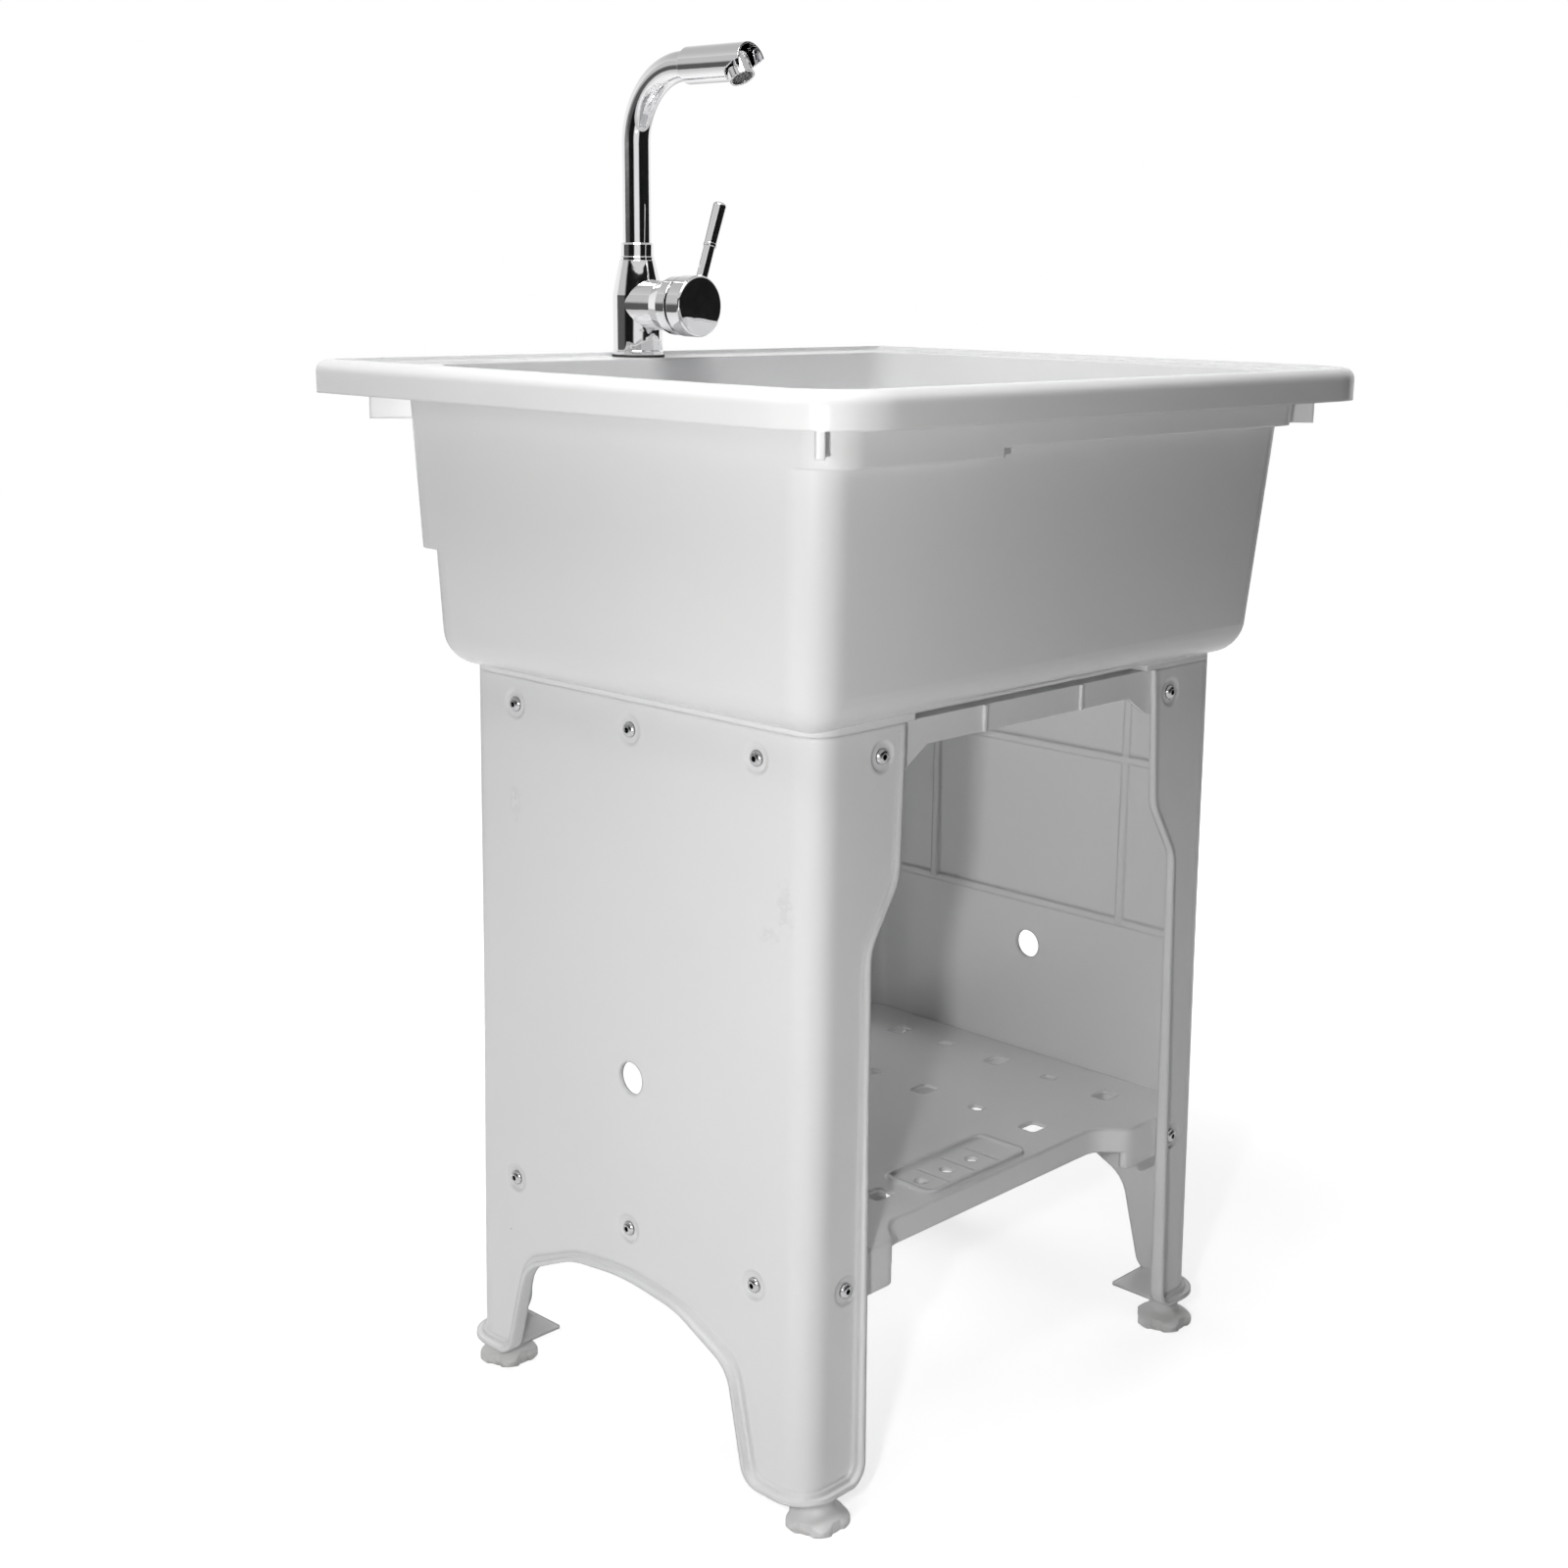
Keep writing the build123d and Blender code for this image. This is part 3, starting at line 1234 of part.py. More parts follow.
with BuildPart() as waste_seal:
    with Locations((0, 0, base_under - press_gap)):
        Cylinder(seal_radius, seal_height, align=(Align.CENTER, Align.CENTER, Align.MAX))
        Cylinder(waste_body_radius + 0.3, 4 * seal_height, mode=Mode.SUBTRACT)
waste_seal.part.label = "waste_seal"
export_step(waste_seal.part, "parts/waste_seal.step")

with BuildPart() as waste_locknut:
    with BuildSketch(Plane.XY.offset(base_under - seal_height - 2 * press_gap)):
        Circle(locknut_radius)
        with PolarLocations(locknut_radius + 0.5, locknut_lugs):
            Rectangle(5, 6)
        Circle(waste_body_radius + thread_gap, mode=Mode.SUBTRACT)
    extrude(amount=-locknut_height)
waste_locknut.part.label = "waste_locknut"
export_step(waste_locknut.part, "parts/waste_locknut.step")

tail_top = waste_body_bottom - 0.1
with BuildPart() as tailpiece:
    with Locations((0, 0, tail_top)):
        Cylinder(tail_radius, tail_top - tail_bottom, align=(Align.CENTER, Align.CENTER, Align.MAX))
        Cylinder(waste_body_radius, tail_collar_height, align=(Align.CENTER, Align.CENTER, Align.MAX))
        Cylinder(tail_bore_radius, 400, mode=Mode.SUBTRACT)
tailpiece.part.label = "tailpiece"
export_step(tailpiece.part, "parts/tailpiece.step")

with BuildPart() as slip_nut:
    with BuildSketch(Plane.XY.offset(slip_nut_bottom)):
        RegularPolygon(slip_nut_half_flats, 10, major_radius=False)
    extrude(amount=slip_nut_height)
    with Locations((0, 0, tail_top - tail_collar_height - press_gap)):
        Cylinder(waste_body_radius + thread_gap, 40,
                 align=(Align.CENTER, Align.CENTER, Align.MIN), mode=Mode.SUBTRACT)
        Cylinder(tail_radius + 0.3, 4 * slip_nut_height, mode=Mode.SUBTRACT)
slip_nut.part.label = "slip_nut"
export_step(slip_nut.part, "parts/slip_nut.step")

with BuildPart() as strainer_basket:
    with BuildSketch(Plane.XZ) as basket_profile:
        with BuildLine():
            Polyline(
                (0, basket_bottom),
                (basket_foot_radius, basket_bottom),
                (basket_top_radius, basket_seat_z),
                (basket_rim_radius, basket_seat_z + press_gap),
                (basket_rim_radius, basket_seat_z + basket_wall),
                (basket_top_radius - 1.2, basket_seat_z + basket_wall),
                (basket_foot_radius - 0.9, basket_bottom + basket_wall),
                (knob_neck_radius + 1.0, basket_bottom + basket_wall),
                (knob_neck_radius, basket_bottom + 18),
                (knob_neck_radius, knob_top - 6),
                (knob_radius, knob_top - 5),
                (knob_radius, knob_top - 2),
                (knob_radius - 1.4, knob_top - 0.5),
                (0, knob_top),
                close=True,
            )
        make_face()
    revolve(axis=Axis.Z)
    with BuildSketch(Plane.XY.offset(basket_bottom - 1)):
        with PolarLocations(basket_hole_pitch, 10):
            Circle(basket_hole_radius)
    extrude(amount=4 * basket_wall, mode=Mode.SUBTRACT)
strainer_basket.part.label = "strainer_basket"
export_step(strainer_basket.part, "parts/strainer_basket.step")
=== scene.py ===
import math

import bpy
from mathutils import Matrix, Vector


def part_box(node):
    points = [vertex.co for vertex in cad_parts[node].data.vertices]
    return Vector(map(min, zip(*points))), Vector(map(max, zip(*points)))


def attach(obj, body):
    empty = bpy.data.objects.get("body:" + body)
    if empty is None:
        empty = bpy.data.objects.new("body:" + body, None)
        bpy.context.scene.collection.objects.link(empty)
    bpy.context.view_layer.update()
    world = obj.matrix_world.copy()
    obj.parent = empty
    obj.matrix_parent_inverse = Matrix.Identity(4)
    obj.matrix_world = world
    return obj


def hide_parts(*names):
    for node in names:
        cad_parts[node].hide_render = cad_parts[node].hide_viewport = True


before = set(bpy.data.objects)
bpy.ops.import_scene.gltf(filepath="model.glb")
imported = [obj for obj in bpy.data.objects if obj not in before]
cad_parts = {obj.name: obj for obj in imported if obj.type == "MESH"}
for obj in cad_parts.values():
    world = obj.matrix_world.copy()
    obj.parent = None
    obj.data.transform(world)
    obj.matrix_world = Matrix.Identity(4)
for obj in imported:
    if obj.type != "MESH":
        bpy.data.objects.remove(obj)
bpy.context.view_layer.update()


# Camera: a normal lens at waist height off the front left corner of the sink, turned and
# shifted so that the sink fills the frame from the tip of the spout to the front foot.
def new_object(name, data):
    """An object of this data, put in the scene."""
    thing = bpy.data.objects.new(name, data)
    bpy.context.collection.objects.link(thing)
    return thing


camera_right = Vector((0.6855, -0.7280, 0.0127))
camera_up = Vector((0.1775, 0.1841, 0.9667))
camera_back = Vector((-0.7061, -0.6604, 0.2554))
camera_place = Vector((-1.2563, -1.1495, 0.8990))
camera_turn = Matrix((camera_right, camera_up, camera_back)).transposed().to_4x4()
camera = new_object("front_left_camera", bpy.data.cameras.new("front_left_camera"))
camera.matrix_world = Matrix.Translation(camera_place) @ camera_turn
camera.data.sensor_width = 36.0
camera.data.sensor_fit = "HORIZONTAL"
camera.data.lens = 49.457
camera.data.shift_x = -0.0298
camera.data.shift_y = 0.0354
camera.data.clip_start = 0.05
bpy.context.scene.camera = camera
bpy.context.scene.view_settings.view_transform = "Standard"


# Studio: a white cove whose walls cast a little light, most of it from above, behind and the
# left. The camera and clear pieces see the walls plain white, and metal sees them greyer overhead.
class Wire:
    """A value in one shader tree. Arithmetic on it adds Math nodes to that tree."""

    # Where the Mix node keeps its factor, its two colours and its colour result.
    MIX_SHARE, MIX_FIRST, MIX_SECOND, MIX_RESULT = 0, 6, 7, 2

    def __init__(self, tree, socket=None):
        self.tree = tree
        self.socket = socket

    def feed(self, socket):
        """Sends this value to an input."""
        self.tree.links.new(self.socket, socket)

    def math(self, operation, other, flip=False):
        """A Math node on this value and another value or number, the other first if flipped."""
        first, second = (other, self) if flip else (self, other)
        return self.node("ShaderNodeMath", {0: first, 1: second}, operation=operation)

    def __add__(self, other):
        return self.math("ADD", other)

    def __radd__(self, other):
        return self.math("ADD", other, flip=True)

    def __sub__(self, other):
        return self.math("SUBTRACT", other)

    def __rsub__(self, other):
        return self.math("SUBTRACT", other, flip=True)

    def __mul__(self, other):
        return self.math("MULTIPLY", other)

    def __rmul__(self, other):
        return self.math("MULTIPLY", other, flip=True)

    def step(self, low, high):
        """0 at low, 1 at high and smooth between; low may be the larger of the two."""
        if low > high:
            return 1 - self.step(high, low)
        limits = {"Value": self, "From Min": low, "From Max": high}
        return self.node("ShaderNodeMapRange", limits, interpolation_type="SMOOTHSTEP")

    def between(self, first, second):
        """A number between two, with this value as the share of the second."""
        return self * (second - first) + first

    def shade(self, first, second):
        """A colour between two, with this value as the share of the second."""
        ends = {self.MIX_SHARE: self}
        for socket, colour in ((self.MIX_FIRST, first), (self.MIX_SECOND, second)):
            ends[socket] = colour if isinstance(colour, Wire) else (*colour, 1.0)
        return self.node("ShaderNodeMix", ends, self.MIX_RESULT, data_type="RGBA")

    def along(self, axis):
        """How far this place lies along one axis."""
        return self.node("ShaderNodeSeparateXYZ", {"Vector": self}, axis)

    def noise(self, scale, detail=2.0):
        """Noise at this place, about 0.5 on average; scale is in grains a metre."""
        return self.node("ShaderNodeTexNoise", {"Vector": self, "Scale": scale, "Detail": detail})

    def away(self, spot, stretch=(1.0, 1.0, 1.0)):
        """Distance of this place from a spot, with each axis stretched."""
        offset = self.node("ShaderNodeVectorMath", {0: self, 1: spot}, operation="SUBTRACT")
        scaled = self.node("ShaderNodeVectorMath", {0: offset, 1: stretch}, operation="MULTIPLY")
        return self.node("ShaderNodeVectorMath", {0: scaled}, "Value", operation="LENGTH")

    def node(self, kind, inputs, output=0, **settings):
        """Any other node: its settings first, then its inputs, and one output back."""
        node = self.tree.nodes.new(kind)
        for name, value in settings.items():
            setattr(node, name, value)
        for name, value in inputs.items():
            if isinstance(value, Wire):
                value.feed(node.inputs[name])
            else:
                node.inputs[name].default_value = value
        return Wire(self.tree, node.outputs[output])


world = bpy.data.worlds.new("white_cove")
bpy.context.scene.world = world
world.use_nodes = True
walls = world.node_tree.nodes["Background"]
facing = Wire(world.node_tree).node("ShaderNodeTexCoord", {}, "Generated")
bright_side = (-0.55, 0.45, 0.70)
toward_bright = facing.node(
    "ShaderNodeVectorMath", {0: facing, 1: bright_side}, "Value", operation="DOT_PRODUCT"
)
overhead = facing.along("Z").step(0.10, 0.75)
camera_ray = facing.node("ShaderNodeLightPath", {}, "Is Camera Ray")
clear_ray = facing.node("ShaderNodeLightPath", {}, "Is Transmission Ray")
metal_ray = facing.node("ShaderNodeLightPath", {}, "Is Glossy Ray") * overhead.between(1.0, 0.55)
seen_wall = camera_ray.math("MAXIMUM", clear_ray).math("MAXIMUM", metal_ray)
cast_light = toward_bright.step(-0.3, 0.9).between(0.015, 0.065)
seen_wall.math("MAXIMUM", cast_light).feed(walls.inputs["Strength"])
walls.inputs["Color"].default_value = (1.0, 1.0, 1.0, 1.0)


# Floor: a wide sheet of pale matt paint that reads white to the camera and keeps the sink's
# shadow. It glows for the camera and for metal only, and more so farther out, where little
# lamp light reaches.
def new_finish(name):
    """An empty finish, its shader, and the place on the piece in metres."""
    finish = bpy.data.materials.new(name)
    finish.use_nodes = True
    place = Wire(finish.node_tree).node("ShaderNodeTexCoord", {}, "Object")
    return finish, finish.node_tree.nodes["Principled BSDF"], place


def new_piece(name, points, faces, finish):
    """A piece of these points and faces, in one finish."""
    mesh = bpy.data.meshes.new(name)
    mesh.from_pydata(points, [], faces)
    mesh.materials.append(finish)
    return new_object(name, mesh)


no_glow = (0.0, 0.0, 0.0)
full_glow = (1.0, 1.0, 1.0)
floor_grey = (0.77, 0.77, 0.77)
floor_pale = (0.79, 0.79, 0.79)
floor_middle = (0.0, 0.0, 0.0)
floor_half = 7.0
floor_paint, shader, place = new_finish("floor_paint")
place.noise(60.0, 3.0).shade(floor_grey, floor_pale).feed(shader.inputs["Base Color"])
shader.inputs["Roughness"].default_value = 0.95
shader.inputs["Specular IOR Level"].default_value = 0.0
camera_ray = place.node("ShaderNodeLightPath", {}, "Is Camera Ray")
metal_ray = place.node("ShaderNodeLightPath", {}, "Is Glossy Ray")
glow = place.away(floor_middle).step(0.4, 1.5).between(0.66, 1.0)
seen_glow = (camera_ray + metal_ray * 0.55) * glow
seen_glow.shade(no_glow, full_glow).feed(shader.inputs["Emission Color"])
shader.inputs["Emission Strength"].default_value = 1.0
floor_corners = [(-floor_half, -floor_half, 0), (floor_half, -floor_half, 0),
                 (floor_half, floor_half, 0), (-floor_half, floor_half, 0)]
floor = new_piece("floor", floor_corners, [(0, 1, 2, 3)], floor_paint)


# Key lamp: a small soft box at the height of the bowl, just left of the camera. It draws the
# edge of the left panel on the shelf and on the inside of the right one.
def hang_lamp(name, watts, width, lamp_place, aim):
    """A square soft box hung at one place and aimed at another."""
    lamp_data = bpy.data.lights.new(name, "AREA")
    lamp_data.energy = watts
    lamp_data.size = width
    lamp = new_object(name, lamp_data)
    lamp.location = lamp_place
    lamp.rotation_euler = (Vector(aim) - lamp.location).to_track_quat("-Z", "Y").to_euler()
    return lamp


key_lamp = hang_lamp("key_lamp", 5.1, 0.05, (-1.035, -0.755, 0.73), (0, 0, 0.50))
key_lamp.data.color = (1.0, 0.997, 0.99)

# Fill lamps: wide soft boxes beside both panels, above the bowl, and behind the stand, aimed low
# at the shelf. Of these, metal and gloss show only the one above.
for lamp_name, watts, width, lamp_place, aim in (
    ("side_lamp", 9.0, 1.1, (-2.2, 0.12, 1.0), (0, 0.05, 0.55)),
    ("top_lamp", 18.0, 0.8, (-0.45, -0.2, 2.0), (0, 0.05, 0.8)),
    ("right_lamp", 11.0, 1.1, (2.2, 0.8, 1.1), (0, 0.05, 0.55)),
    ("back_lamp", 7.0, 0.8, (0.1, 1.4, 1.0), (0, 0, 0.2)),
):
    fill_lamp = hang_lamp(lamp_name, watts, width, lamp_place, aim)
    fill_lamp.visible_glossy = lamp_name == "top_lamp"

# Flag: a bent black cloth round the left, front and right, which only metal and gloss see. It
# gives the chrome its dark streaks, and a glowing card on it behind the camera and a fainter
# glow at its end at the back left give the bright ones.
flag_black = (0.012, 0.012, 0.013)
flag_worn = (0.05, 0.05, 0.052)
flag_radius = 3.4
flag_foot = -0.6
flag_top = 2.6
flag_start = -152
pane_turn = 8.2
pane_count = 28
card_middle = (-2.40, -2.40, 0.50)
card_stretch = (1.0, 1.0, 0.80)
flag_cloth, shader, place = new_finish("flag_cloth")
place.noise(3.0, 3.0).shade(flag_black, flag_worn).feed(shader.inputs["Base Color"])
shader.inputs["Roughness"].default_value = 1.0
card = place.away(card_middle, card_stretch).step(1.60, 1.00) * 0.85
glowing_end = place.along("Y").step(0.7, 1.5) * place.along("Z").step(0.95, 1.5).between(0.10, 0.60)
(card + glowing_end).shade(no_glow, full_glow).feed(shader.inputs["Emission Color"])
shader.inputs["Emission Strength"].default_value = 1.0
flag_points = []
for post in range(pane_count + 1):
    turn = math.radians(flag_start + post * pane_turn)
    for height in (flag_foot, flag_top):
        flag_points.append((flag_radius * math.sin(turn), -flag_radius * math.cos(turn), height))
flag_panes = [(2 * pane, 2 * pane + 2, 2 * pane + 3, 2 * pane + 1) for pane in range(pane_count)]
flag = new_piece("flag", flag_points, flag_panes, flag_cloth)
flag.visible_camera = False
flag.visible_diffuse = False
flag.visible_shadow = False
flag.visible_transmission = False


# Levelling feet: five-lobed pads of pale plastic on steel studs, screwed up into brass inserts
# in the leg ends. The pads are scuffed where they drag on the floor.
def dress(finish, *nodes):
    """Gives one finish to pieces carried over from the CAD."""
    for node in nodes:
        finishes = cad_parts[node].data.materials
        finishes.clear()
        finishes.append(finish)


def relief(place, shader, height, depth, round_edge):
    """Bump of a real depth over edges rounded by a real radius, both in metres."""
    edge = place.node("ShaderNodeBevel", {"Radius": round_edge}, samples=6)
    bumps = {"Distance": depth, "Height": height, "Normal": edge}
    place.node("ShaderNodeBump", bumps).feed(shader.inputs["Normal"])


pad_white = (0.80, 0.80, 0.80)
pad_scuffed = (0.55, 0.54, 0.52)
foot_plastic, shader, place = new_finish("foot_plastic")
scuff = place.along("Z").step(0.006, 0.0005) * place.noise(160.0, 3.0).step(0.42, 0.62)
mottle = place.noise(18.0).step(0.3, 0.7)
(mottle * 0.25 + scuff * 0.75).shade(pad_white, pad_scuffed).feed(shader.inputs["Base Color"])
place.noise(70.0, 3.0).between(0.30, 0.46).feed(shader.inputs["Roughness"])
relief(place, shader, place.noise(900.0), depth=0.00002, round_edge=0.0014)
dress(foot_plastic, "front_left_foot", "front_right_foot", "rear_left_foot", "rear_right_foot")

zinc_dark = (0.50, 0.51, 0.53)
zinc_pale = (0.70, 0.71, 0.72)
zinc_steel, shader, place = new_finish("zinc_steel")
spangle = place.noise(380.0, 3.0)
spangle.shade(zinc_dark, zinc_pale).feed(shader.inputs["Base Color"])
shader.inputs["Metallic"].default_value = 1.0
place.noise(900.0).between(0.16, 0.41).feed(shader.inputs["Roughness"])
relief(place, shader, spangle, depth=0.00003, round_edge=0.0003)

brass_dark = (0.50, 0.39, 0.21)
brass_pale = (0.66, 0.53, 0.31)
turned_brass, shader, place = new_finish("turned_brass")
lathe_lines = {"Vector": place, "Scale": 420.0, "Distortion": 1.5}
lathe = place.node("ShaderNodeTexWave", lathe_lines, "Fac", bands_direction="Z")
lathe.shade(brass_dark, brass_pale).feed(shader.inputs["Base Color"])
shader.inputs["Metallic"].default_value = 1.0
place.noise(300.0).between(0.22, 0.42).feed(shader.inputs["Roughness"])
relief(place, shader, lathe, depth=0.00002, round_edge=0.0003)
dress(turned_brass, "foot_inserts")


def threaded(node, body, finish, pitch, depth, sides, bore=0.0):
    """A rod or sleeve with a cut thread in place of a plain CAD one, in its box and on its body."""
    low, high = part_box(node)
    middle = (low + high) / 2
    crest = (high.x - low.x) / 2
    length = high.z - low.z
    rings_per_pitch = 6
    flank_slope = 1.5
    rings = int(length / pitch * rings_per_pitch)

    def corner(side, radius, z):
        angle = 2 * math.pi * side / sides
        return (middle.x + radius * math.cos(angle), middle.y + radius * math.sin(angle), z)

    points = []
    for ring in range(rings + 1):
        z = low.z + length * ring / rings
        for side in range(sides):
            groove = abs(2 * ((z / pitch - side / sides) % 1.0) - 1)
            points.append(corner(side, crest - depth * min(1.0, flank_slope * groove), z))
    faces = []
    for ring in range(rings):
        for side in range(sides):
            here = ring * sides + side
            beside = ring * sides + (side + 1) % sides
            faces.append((here, beside, beside + sides, here + sides))
    top = rings * sides
    if bore:
        inner = len(points)
        for z in (low.z, high.z):
            for side in range(sides):
                points.append(corner(side, bore, z))
        inner_top = inner + sides
        for side in range(sides):
            other = (side + 1) % sides
            faces.append((inner + other, inner + side, inner_top + side, inner_top + other))
            faces.append((side, inner + side, inner + other, other))
            faces.append((top + other, inner_top + other, inner_top + side, top + side))
    else:
        faces.append(tuple(reversed(range(sides))))
        faces.append(tuple(range(top, top + sides)))
    rod = new_piece(node + "_thread", points, faces, finish)
    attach(rod, body)
    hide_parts(node)


for leg in ("front_left", "front_right", "rear_left", "rear_right"):
    threaded(leg + "_stud", leg + "_leveller", zinc_steel,
             pitch=0.00125, depth=0.0006, sides=28)


# Side panels: two mirrored channels moulded in white plastic with a flared lip along every
# edge, glossy and slightly wavy, with small dark specks and a few rubbed marks.
def white_moulding(name, wave, round_edge, marks=()):
    """Glossy white moulded plastic; marks are (spot, width, height) of rubbed places."""
    grey_white = (0.820, 0.822, 0.828)
    clear_white = (0.846, 0.846, 0.848)
    dirt_brown = (0.26, 0.25, 0.24)
    speck_rim = 0.030
    speck_heart = 0.019
    grain_depth = 0.000008
    finish, shader, place = new_finish(name)
    to_speck = place.node("ShaderNodeTexVoronoi", {"Vector": place, "Scale": 11.0})
    speck_size = place.noise(5.0)
    dirt = (to_speck + (1 - speck_size) * speck_rim).step(speck_rim, speck_heart) * 0.75
    for spot, width, height in marks:
        ragged = (place.noise(140.0, 5.0) - 0.5) * 2.2
        rubbed = place.away(spot, (1.0, 1.0 / width, 1.0 / height)) + ragged
        dirt = dirt.math("MAXIMUM", rubbed.step(0.72, 0.10) * 0.09)
    clean = place.noise(2.4).step(0.3, 0.7).shade(grey_white, clear_white)
    dirt.shade(clean, dirt_brown).feed(shader.inputs["Base Color"])
    dullness = place.noise(7.0, 3.0) * 0.07 + place.noise(240.0) * 0.05 + 0.17 + dirt * 0.5
    dullness.feed(shader.inputs["Roughness"])
    skin = place.noise(3.5, 1.0) * wave + place.noise(1500.0) * grain_depth
    relief(place, shader, skin, depth=1.0, round_edge=round_edge)
    return finish


left_marks = (
    ((-0.241, -0.158, 0.472), 0.016, 0.030),
    ((-0.241, -0.143, 0.452), 0.014, 0.010),
    ((-0.241, 0.134, 0.497), 0.010, 0.022),
)
panel_wave = 0.0009
panel_lip = 0.0042
left_panel_plastic = white_moulding("left_panel_plastic", panel_wave, panel_lip, left_marks)
right_panel_plastic = white_moulding("right_panel_plastic", panel_wave, panel_lip)
dress(left_panel_plastic, "left_side_panel")
dress(right_panel_plastic, "right_side_panel")

# Cross rails: two angles of the same white plastic right under the bowl, one at the front and
# one at the rear, each screwed between the panels to hold them apart.
rail_plastic = white_moulding("rail_plastic", wave=0.0004, round_edge=0.0010)
dress(rail_plastic, "front_cross_rail", "rear_cross_rail")

# Bottom shelf: a skirted tray of the same white plastic, with drain slots and a shallow recess
# with round holes near its front edge. It is screwed between the panels.
shelf_plastic = white_moulding("shelf_plastic", wave=0.0005, round_edge=0.0030)
dress(shelf_plastic, "bottom_shelf")

# Panel screws and nuts: bright zinc button heads with a hex socket, twelve through the sides
# and eight through the returns, each with a nut behind.
# Painted shade: the hex sockets and other hollows of the heads and nuts are coloured black where
# their shade falls.
socket_painted_shade = (0.02, 0.02, 0.02)
head_bright = (0.62, 0.62, 0.63)
screw_zinc, shader, place = new_finish("screw_zinc")
spangle = place.noise(520.0, 3.0)
# Painted shade: the occlusion node finds the closed-in hollows, and the zinc there is coloured black
# in place of their shade.
openness_for_painted_shade = place.node("ShaderNodeAmbientOcclusion", {"Distance": 0.004}, "AO", samples=8)
spangle_and_painted_shade = openness_for_painted_shade.step(0.35, 0.85) * spangle.between(0.65, 1.0)
spangle_and_painted_shade.shade(socket_painted_shade, head_bright).feed(shader.inputs["Base Color"])
shader.inputs["Metallic"].default_value = 1.0
spangle.between(0.16, 0.36).feed(shader.inputs["Roughness"])
relief(place, shader, place.noise(1400.0), depth=0.00003, round_edge=0.0005)
dress(screw_zinc, "side_screws", "side_nuts", "return_screws", "return_nuts")

# Basin: one moulding of bowl, rim and deck in thick white plastic, with a soap recess and a
# tap hole in the deck. It drops into the tops of the panels and is screwed through its flanges.
basin_plastic = white_moulding("basin_plastic", wave=0.0007, round_edge=0.0025)
dress(basin_plastic, "basin")

# Waste: a pressed stainless flange on a rubber seal, pulled down by a plastic locknut, with a
# tailpiece held by a slip nut.
stainless_dark = (0.60, 0.60, 0.61)
stainless_pale = (0.70, 0.70, 0.71)
brushed_stainless, shader, place = new_finish("brushed_stainless")
brush_lines = {"Vector": place, "Scale": 260.0, "Distortion": 2.0, "Detail": 2.0}
brushed = place.node(
    "ShaderNodeTexWave", brush_lines, "Fac", wave_type="RINGS", rings_direction="Z"
)
brushed.shade(stainless_dark, stainless_pale).feed(shader.inputs["Base Color"])
shader.inputs["Metallic"].default_value = 1.0
(brushed * 0.10 + place.noise(30.0) * 0.08 + 0.16).feed(shader.inputs["Roughness"])
relief(place, shader, brushed, depth=0.00002, round_edge=0.0005)
dress(brushed_stainless, "waste_flange")

rubber_black = (0.018, 0.018, 0.018)
rubber_grey = (0.045, 0.044, 0.043)
black_rubber, shader, place = new_finish("black_rubber")
place.noise(40.0, 3.0).shade(rubber_black, rubber_grey).feed(shader.inputs["Base Color"])
place.noise(200.0).between(0.65, 0.85).feed(shader.inputs["Roughness"])
relief(place, shader, place.noise(1200.0), depth=0.00004, round_edge=0.0004)
dress(black_rubber, "waste_seal")

waste_grey = (0.70, 0.70, 0.69)
waste_white = (0.76, 0.76, 0.75)
waste_plastic, shader, place = new_finish("waste_plastic")
place.noise(12.0).shade(waste_grey, waste_white).feed(shader.inputs["Base Color"])
place.noise(90.0, 3.0).between(0.42, 0.57).feed(shader.inputs["Roughness"])
relief(place, shader, place.noise(1100.0), depth=0.00004, round_edge=0.0007)
dress(waste_plastic, "waste_locknut", "tailpiece", "slip_nut")

# Strainer basket: a small stainless cup with a knob, resting in the waste and lifted out by
# hand to empty it.
dress(brushed_stainless, "strainer_basket")

# Tap fixings: rubber gasket and washer either side of the deck, a threaded brass shank with its
# nut, and two brass tails for the supply.
dress(black_rubber, "tap_gasket", "tap_washer")
dress(turned_brass, "tap_nut", "inlet_tails")
threaded("tap_shank", "stand", turned_brass,
         pitch=0.00134, depth=0.0007, sides=48, bore=0.0095)


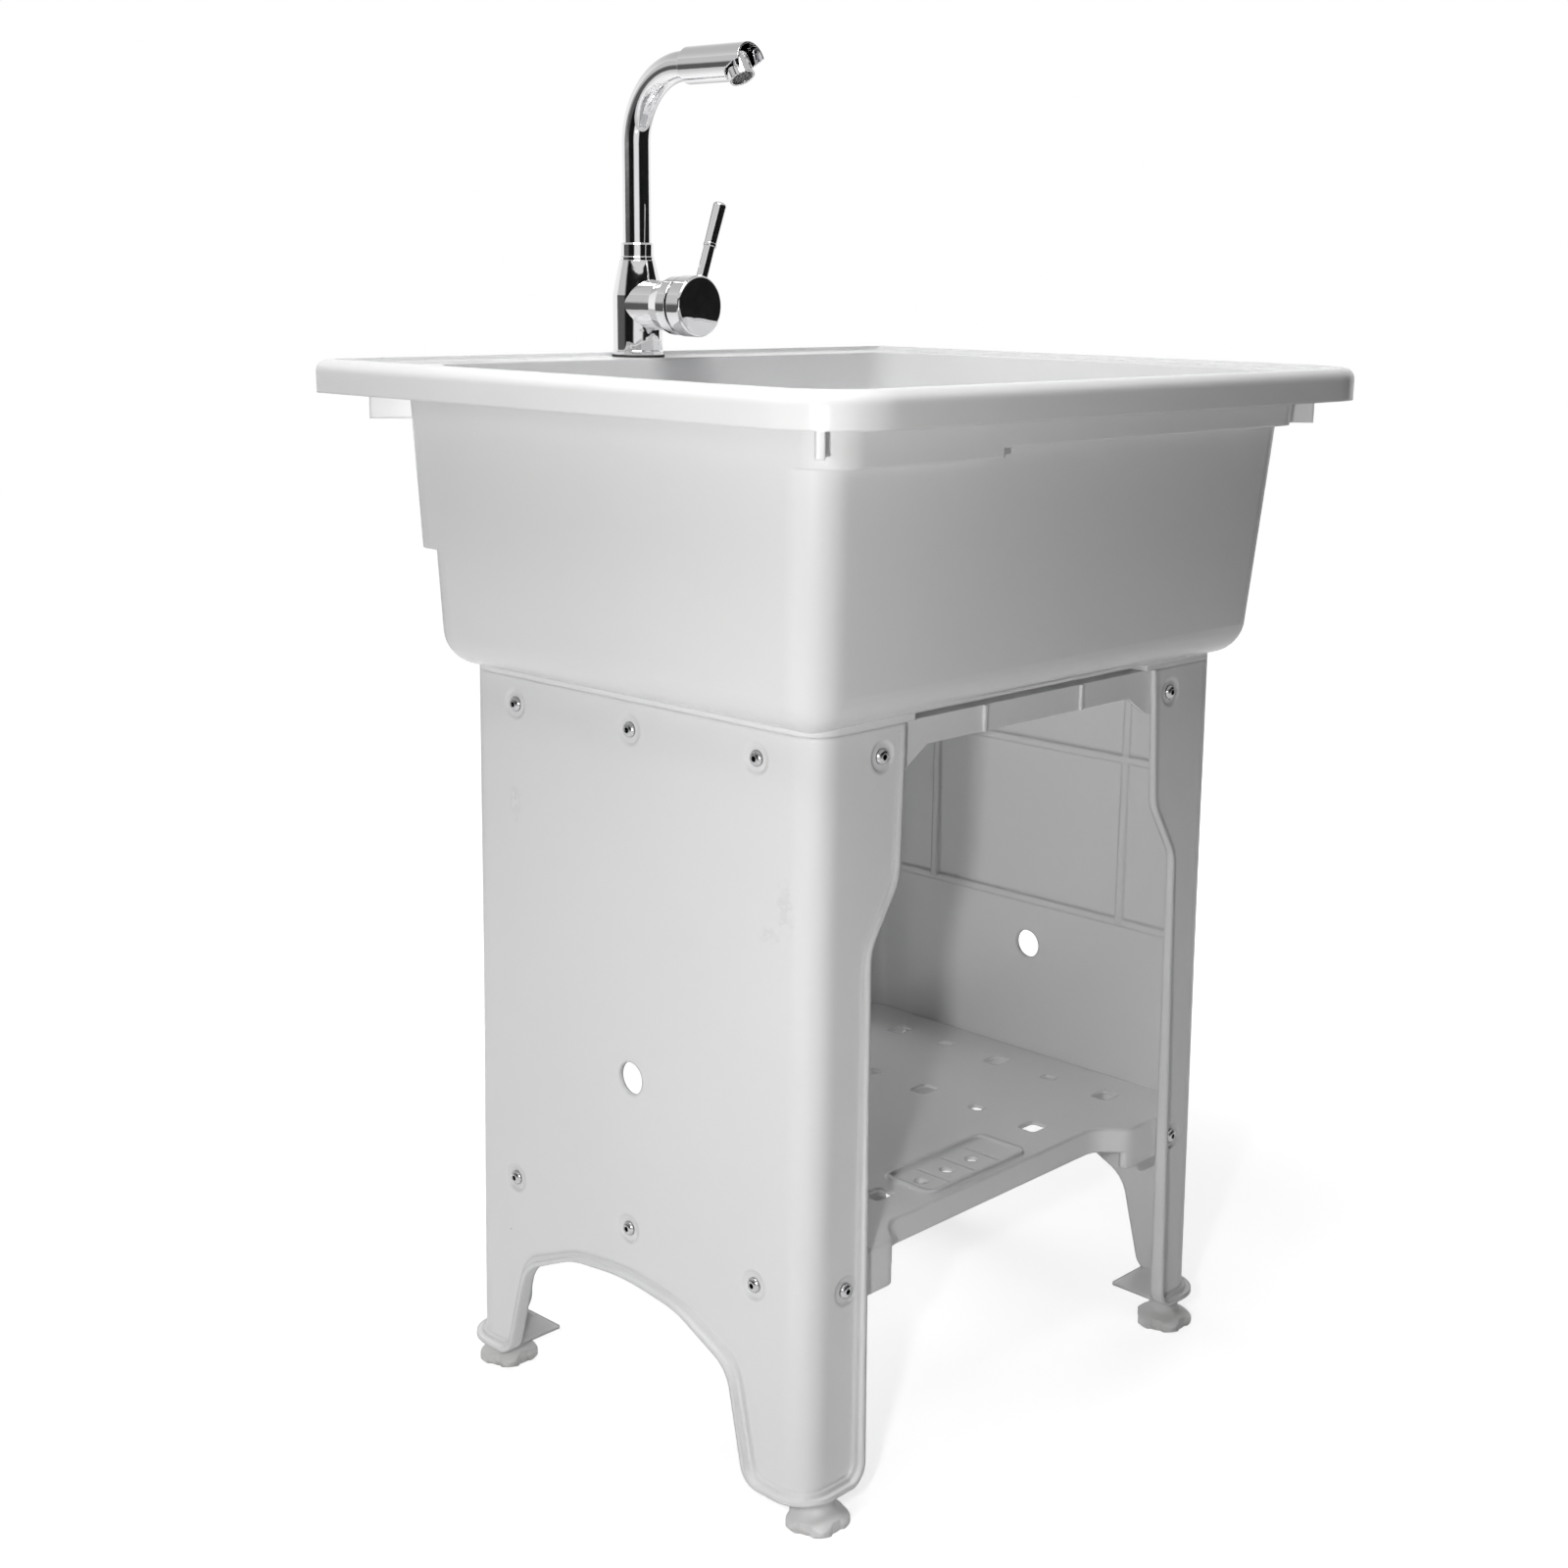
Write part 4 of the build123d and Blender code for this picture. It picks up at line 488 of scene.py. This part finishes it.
# Tap body: one chromed brass casting, polished, whose housing for the cartridge stands out
# to the front.
def chrome(name, ripple, crown=None):
    """Polished chrome plate with faint water marks; crown is the middle of a slightly domed face."""
    chrome_grey = (0.80, 0.80, 0.81)
    chrome_pale = (0.86, 0.86, 0.87)
    face_only = (1.0, 0.0, 1.0)
    dome_fall = 2.6
    finish, shader, place = new_finish(name)
    film = place.noise(24.0, 4.0)
    film.shade(chrome_grey, chrome_pale).feed(shader.inputs["Base Color"])
    shader.inputs["Metallic"].default_value = 1.0
    dullness = film.step(0.45, 0.75) * 0.05 + place.noise(320.0) * 0.02 + 0.015
    dullness.feed(shader.inputs["Roughness"])
    skin = place.noise(55.0, 2.0) * ripple
    if crown is not None:
        reach = place.away(crown, face_only)
        skin = skin - reach * reach * dome_fall
    relief(place, shader, skin, depth=1.0, round_edge=0.0006)
    return finish


dress(chrome("body_chrome", ripple=0.00016), "tap_body")

# Spout: a bent chromed tube that turns by hand in a plastic bushing, under a chromed collar on
# top of the tap body.
dress(chrome("tube_chrome", ripple=0.00012), "spout_tube", "spout_collar")
plastic_grey = (0.60, 0.60, 0.57)
plastic_pale = (0.68, 0.68, 0.65)
cartridge_plastic, shader, place = new_finish("cartridge_plastic")
place.noise(30.0).shade(plastic_grey, plastic_pale).feed(shader.inputs["Base Color"])
place.noise(200.0).between(0.40, 0.50).feed(shader.inputs["Roughness"])
relief(place, shader, place.noise(900.0), depth=0.00003, round_edge=0.0004)
dress(cartridge_plastic, "spout_bushing")

# Spout hood and outlet: a sleeve pressed on the tube and cut back under its end, where the
# tilted outlet comes through with its screen.
dress(chrome("hood_chrome", ripple=0.00010), "spout_sleeve", "aerator_housing")
# Painted shade: the steel screen is coloured dark all over, standing for the shade in its holes and
# inside the hollow outlet.
screen_painted_shade_dark = (0.10, 0.10, 0.10)
screen_painted_shade_pale = (0.26, 0.26, 0.26)
screen_steel_painted_dark, shader, place = new_finish("screen_steel_painted_dark")
place.noise(700.0).shade(screen_painted_shade_dark, screen_painted_shade_pale).feed(shader.inputs["Base Color"])
shader.inputs["Metallic"].default_value = 1.0
place.noise(500.0).between(0.35, 0.55).feed(shader.inputs["Roughness"])
relief(place, shader, place.noise(1800.0), depth=0.00004, round_edge=0.0002)
dress(screen_steel_painted_dark, "aerator_screen")

# Cartridge: a moulded plastic body held in the tap's housing by a turned brass ring. Its brass
# stem carries the lever.
dress(cartridge_plastic, "cartridge")
dress(turned_brass, "cartridge_ring", "cartridge_stem")

# Lever: a chromed cap on the stem, held by a steel pin, with a rod and a grip screwed into its
# side. It turns for heat and tips forward for flow.
cap_crown = (-0.0257, 0.0, 0.8655)
dress(chrome("cap_chrome", ripple=0.00008, crown=cap_crown), "lever_cap")
dress(chrome("lever_chrome", ripple=0.00008), "lever_rod", "lever_ring", "lever_grip")
dress(zinc_steel, "lever_pin")
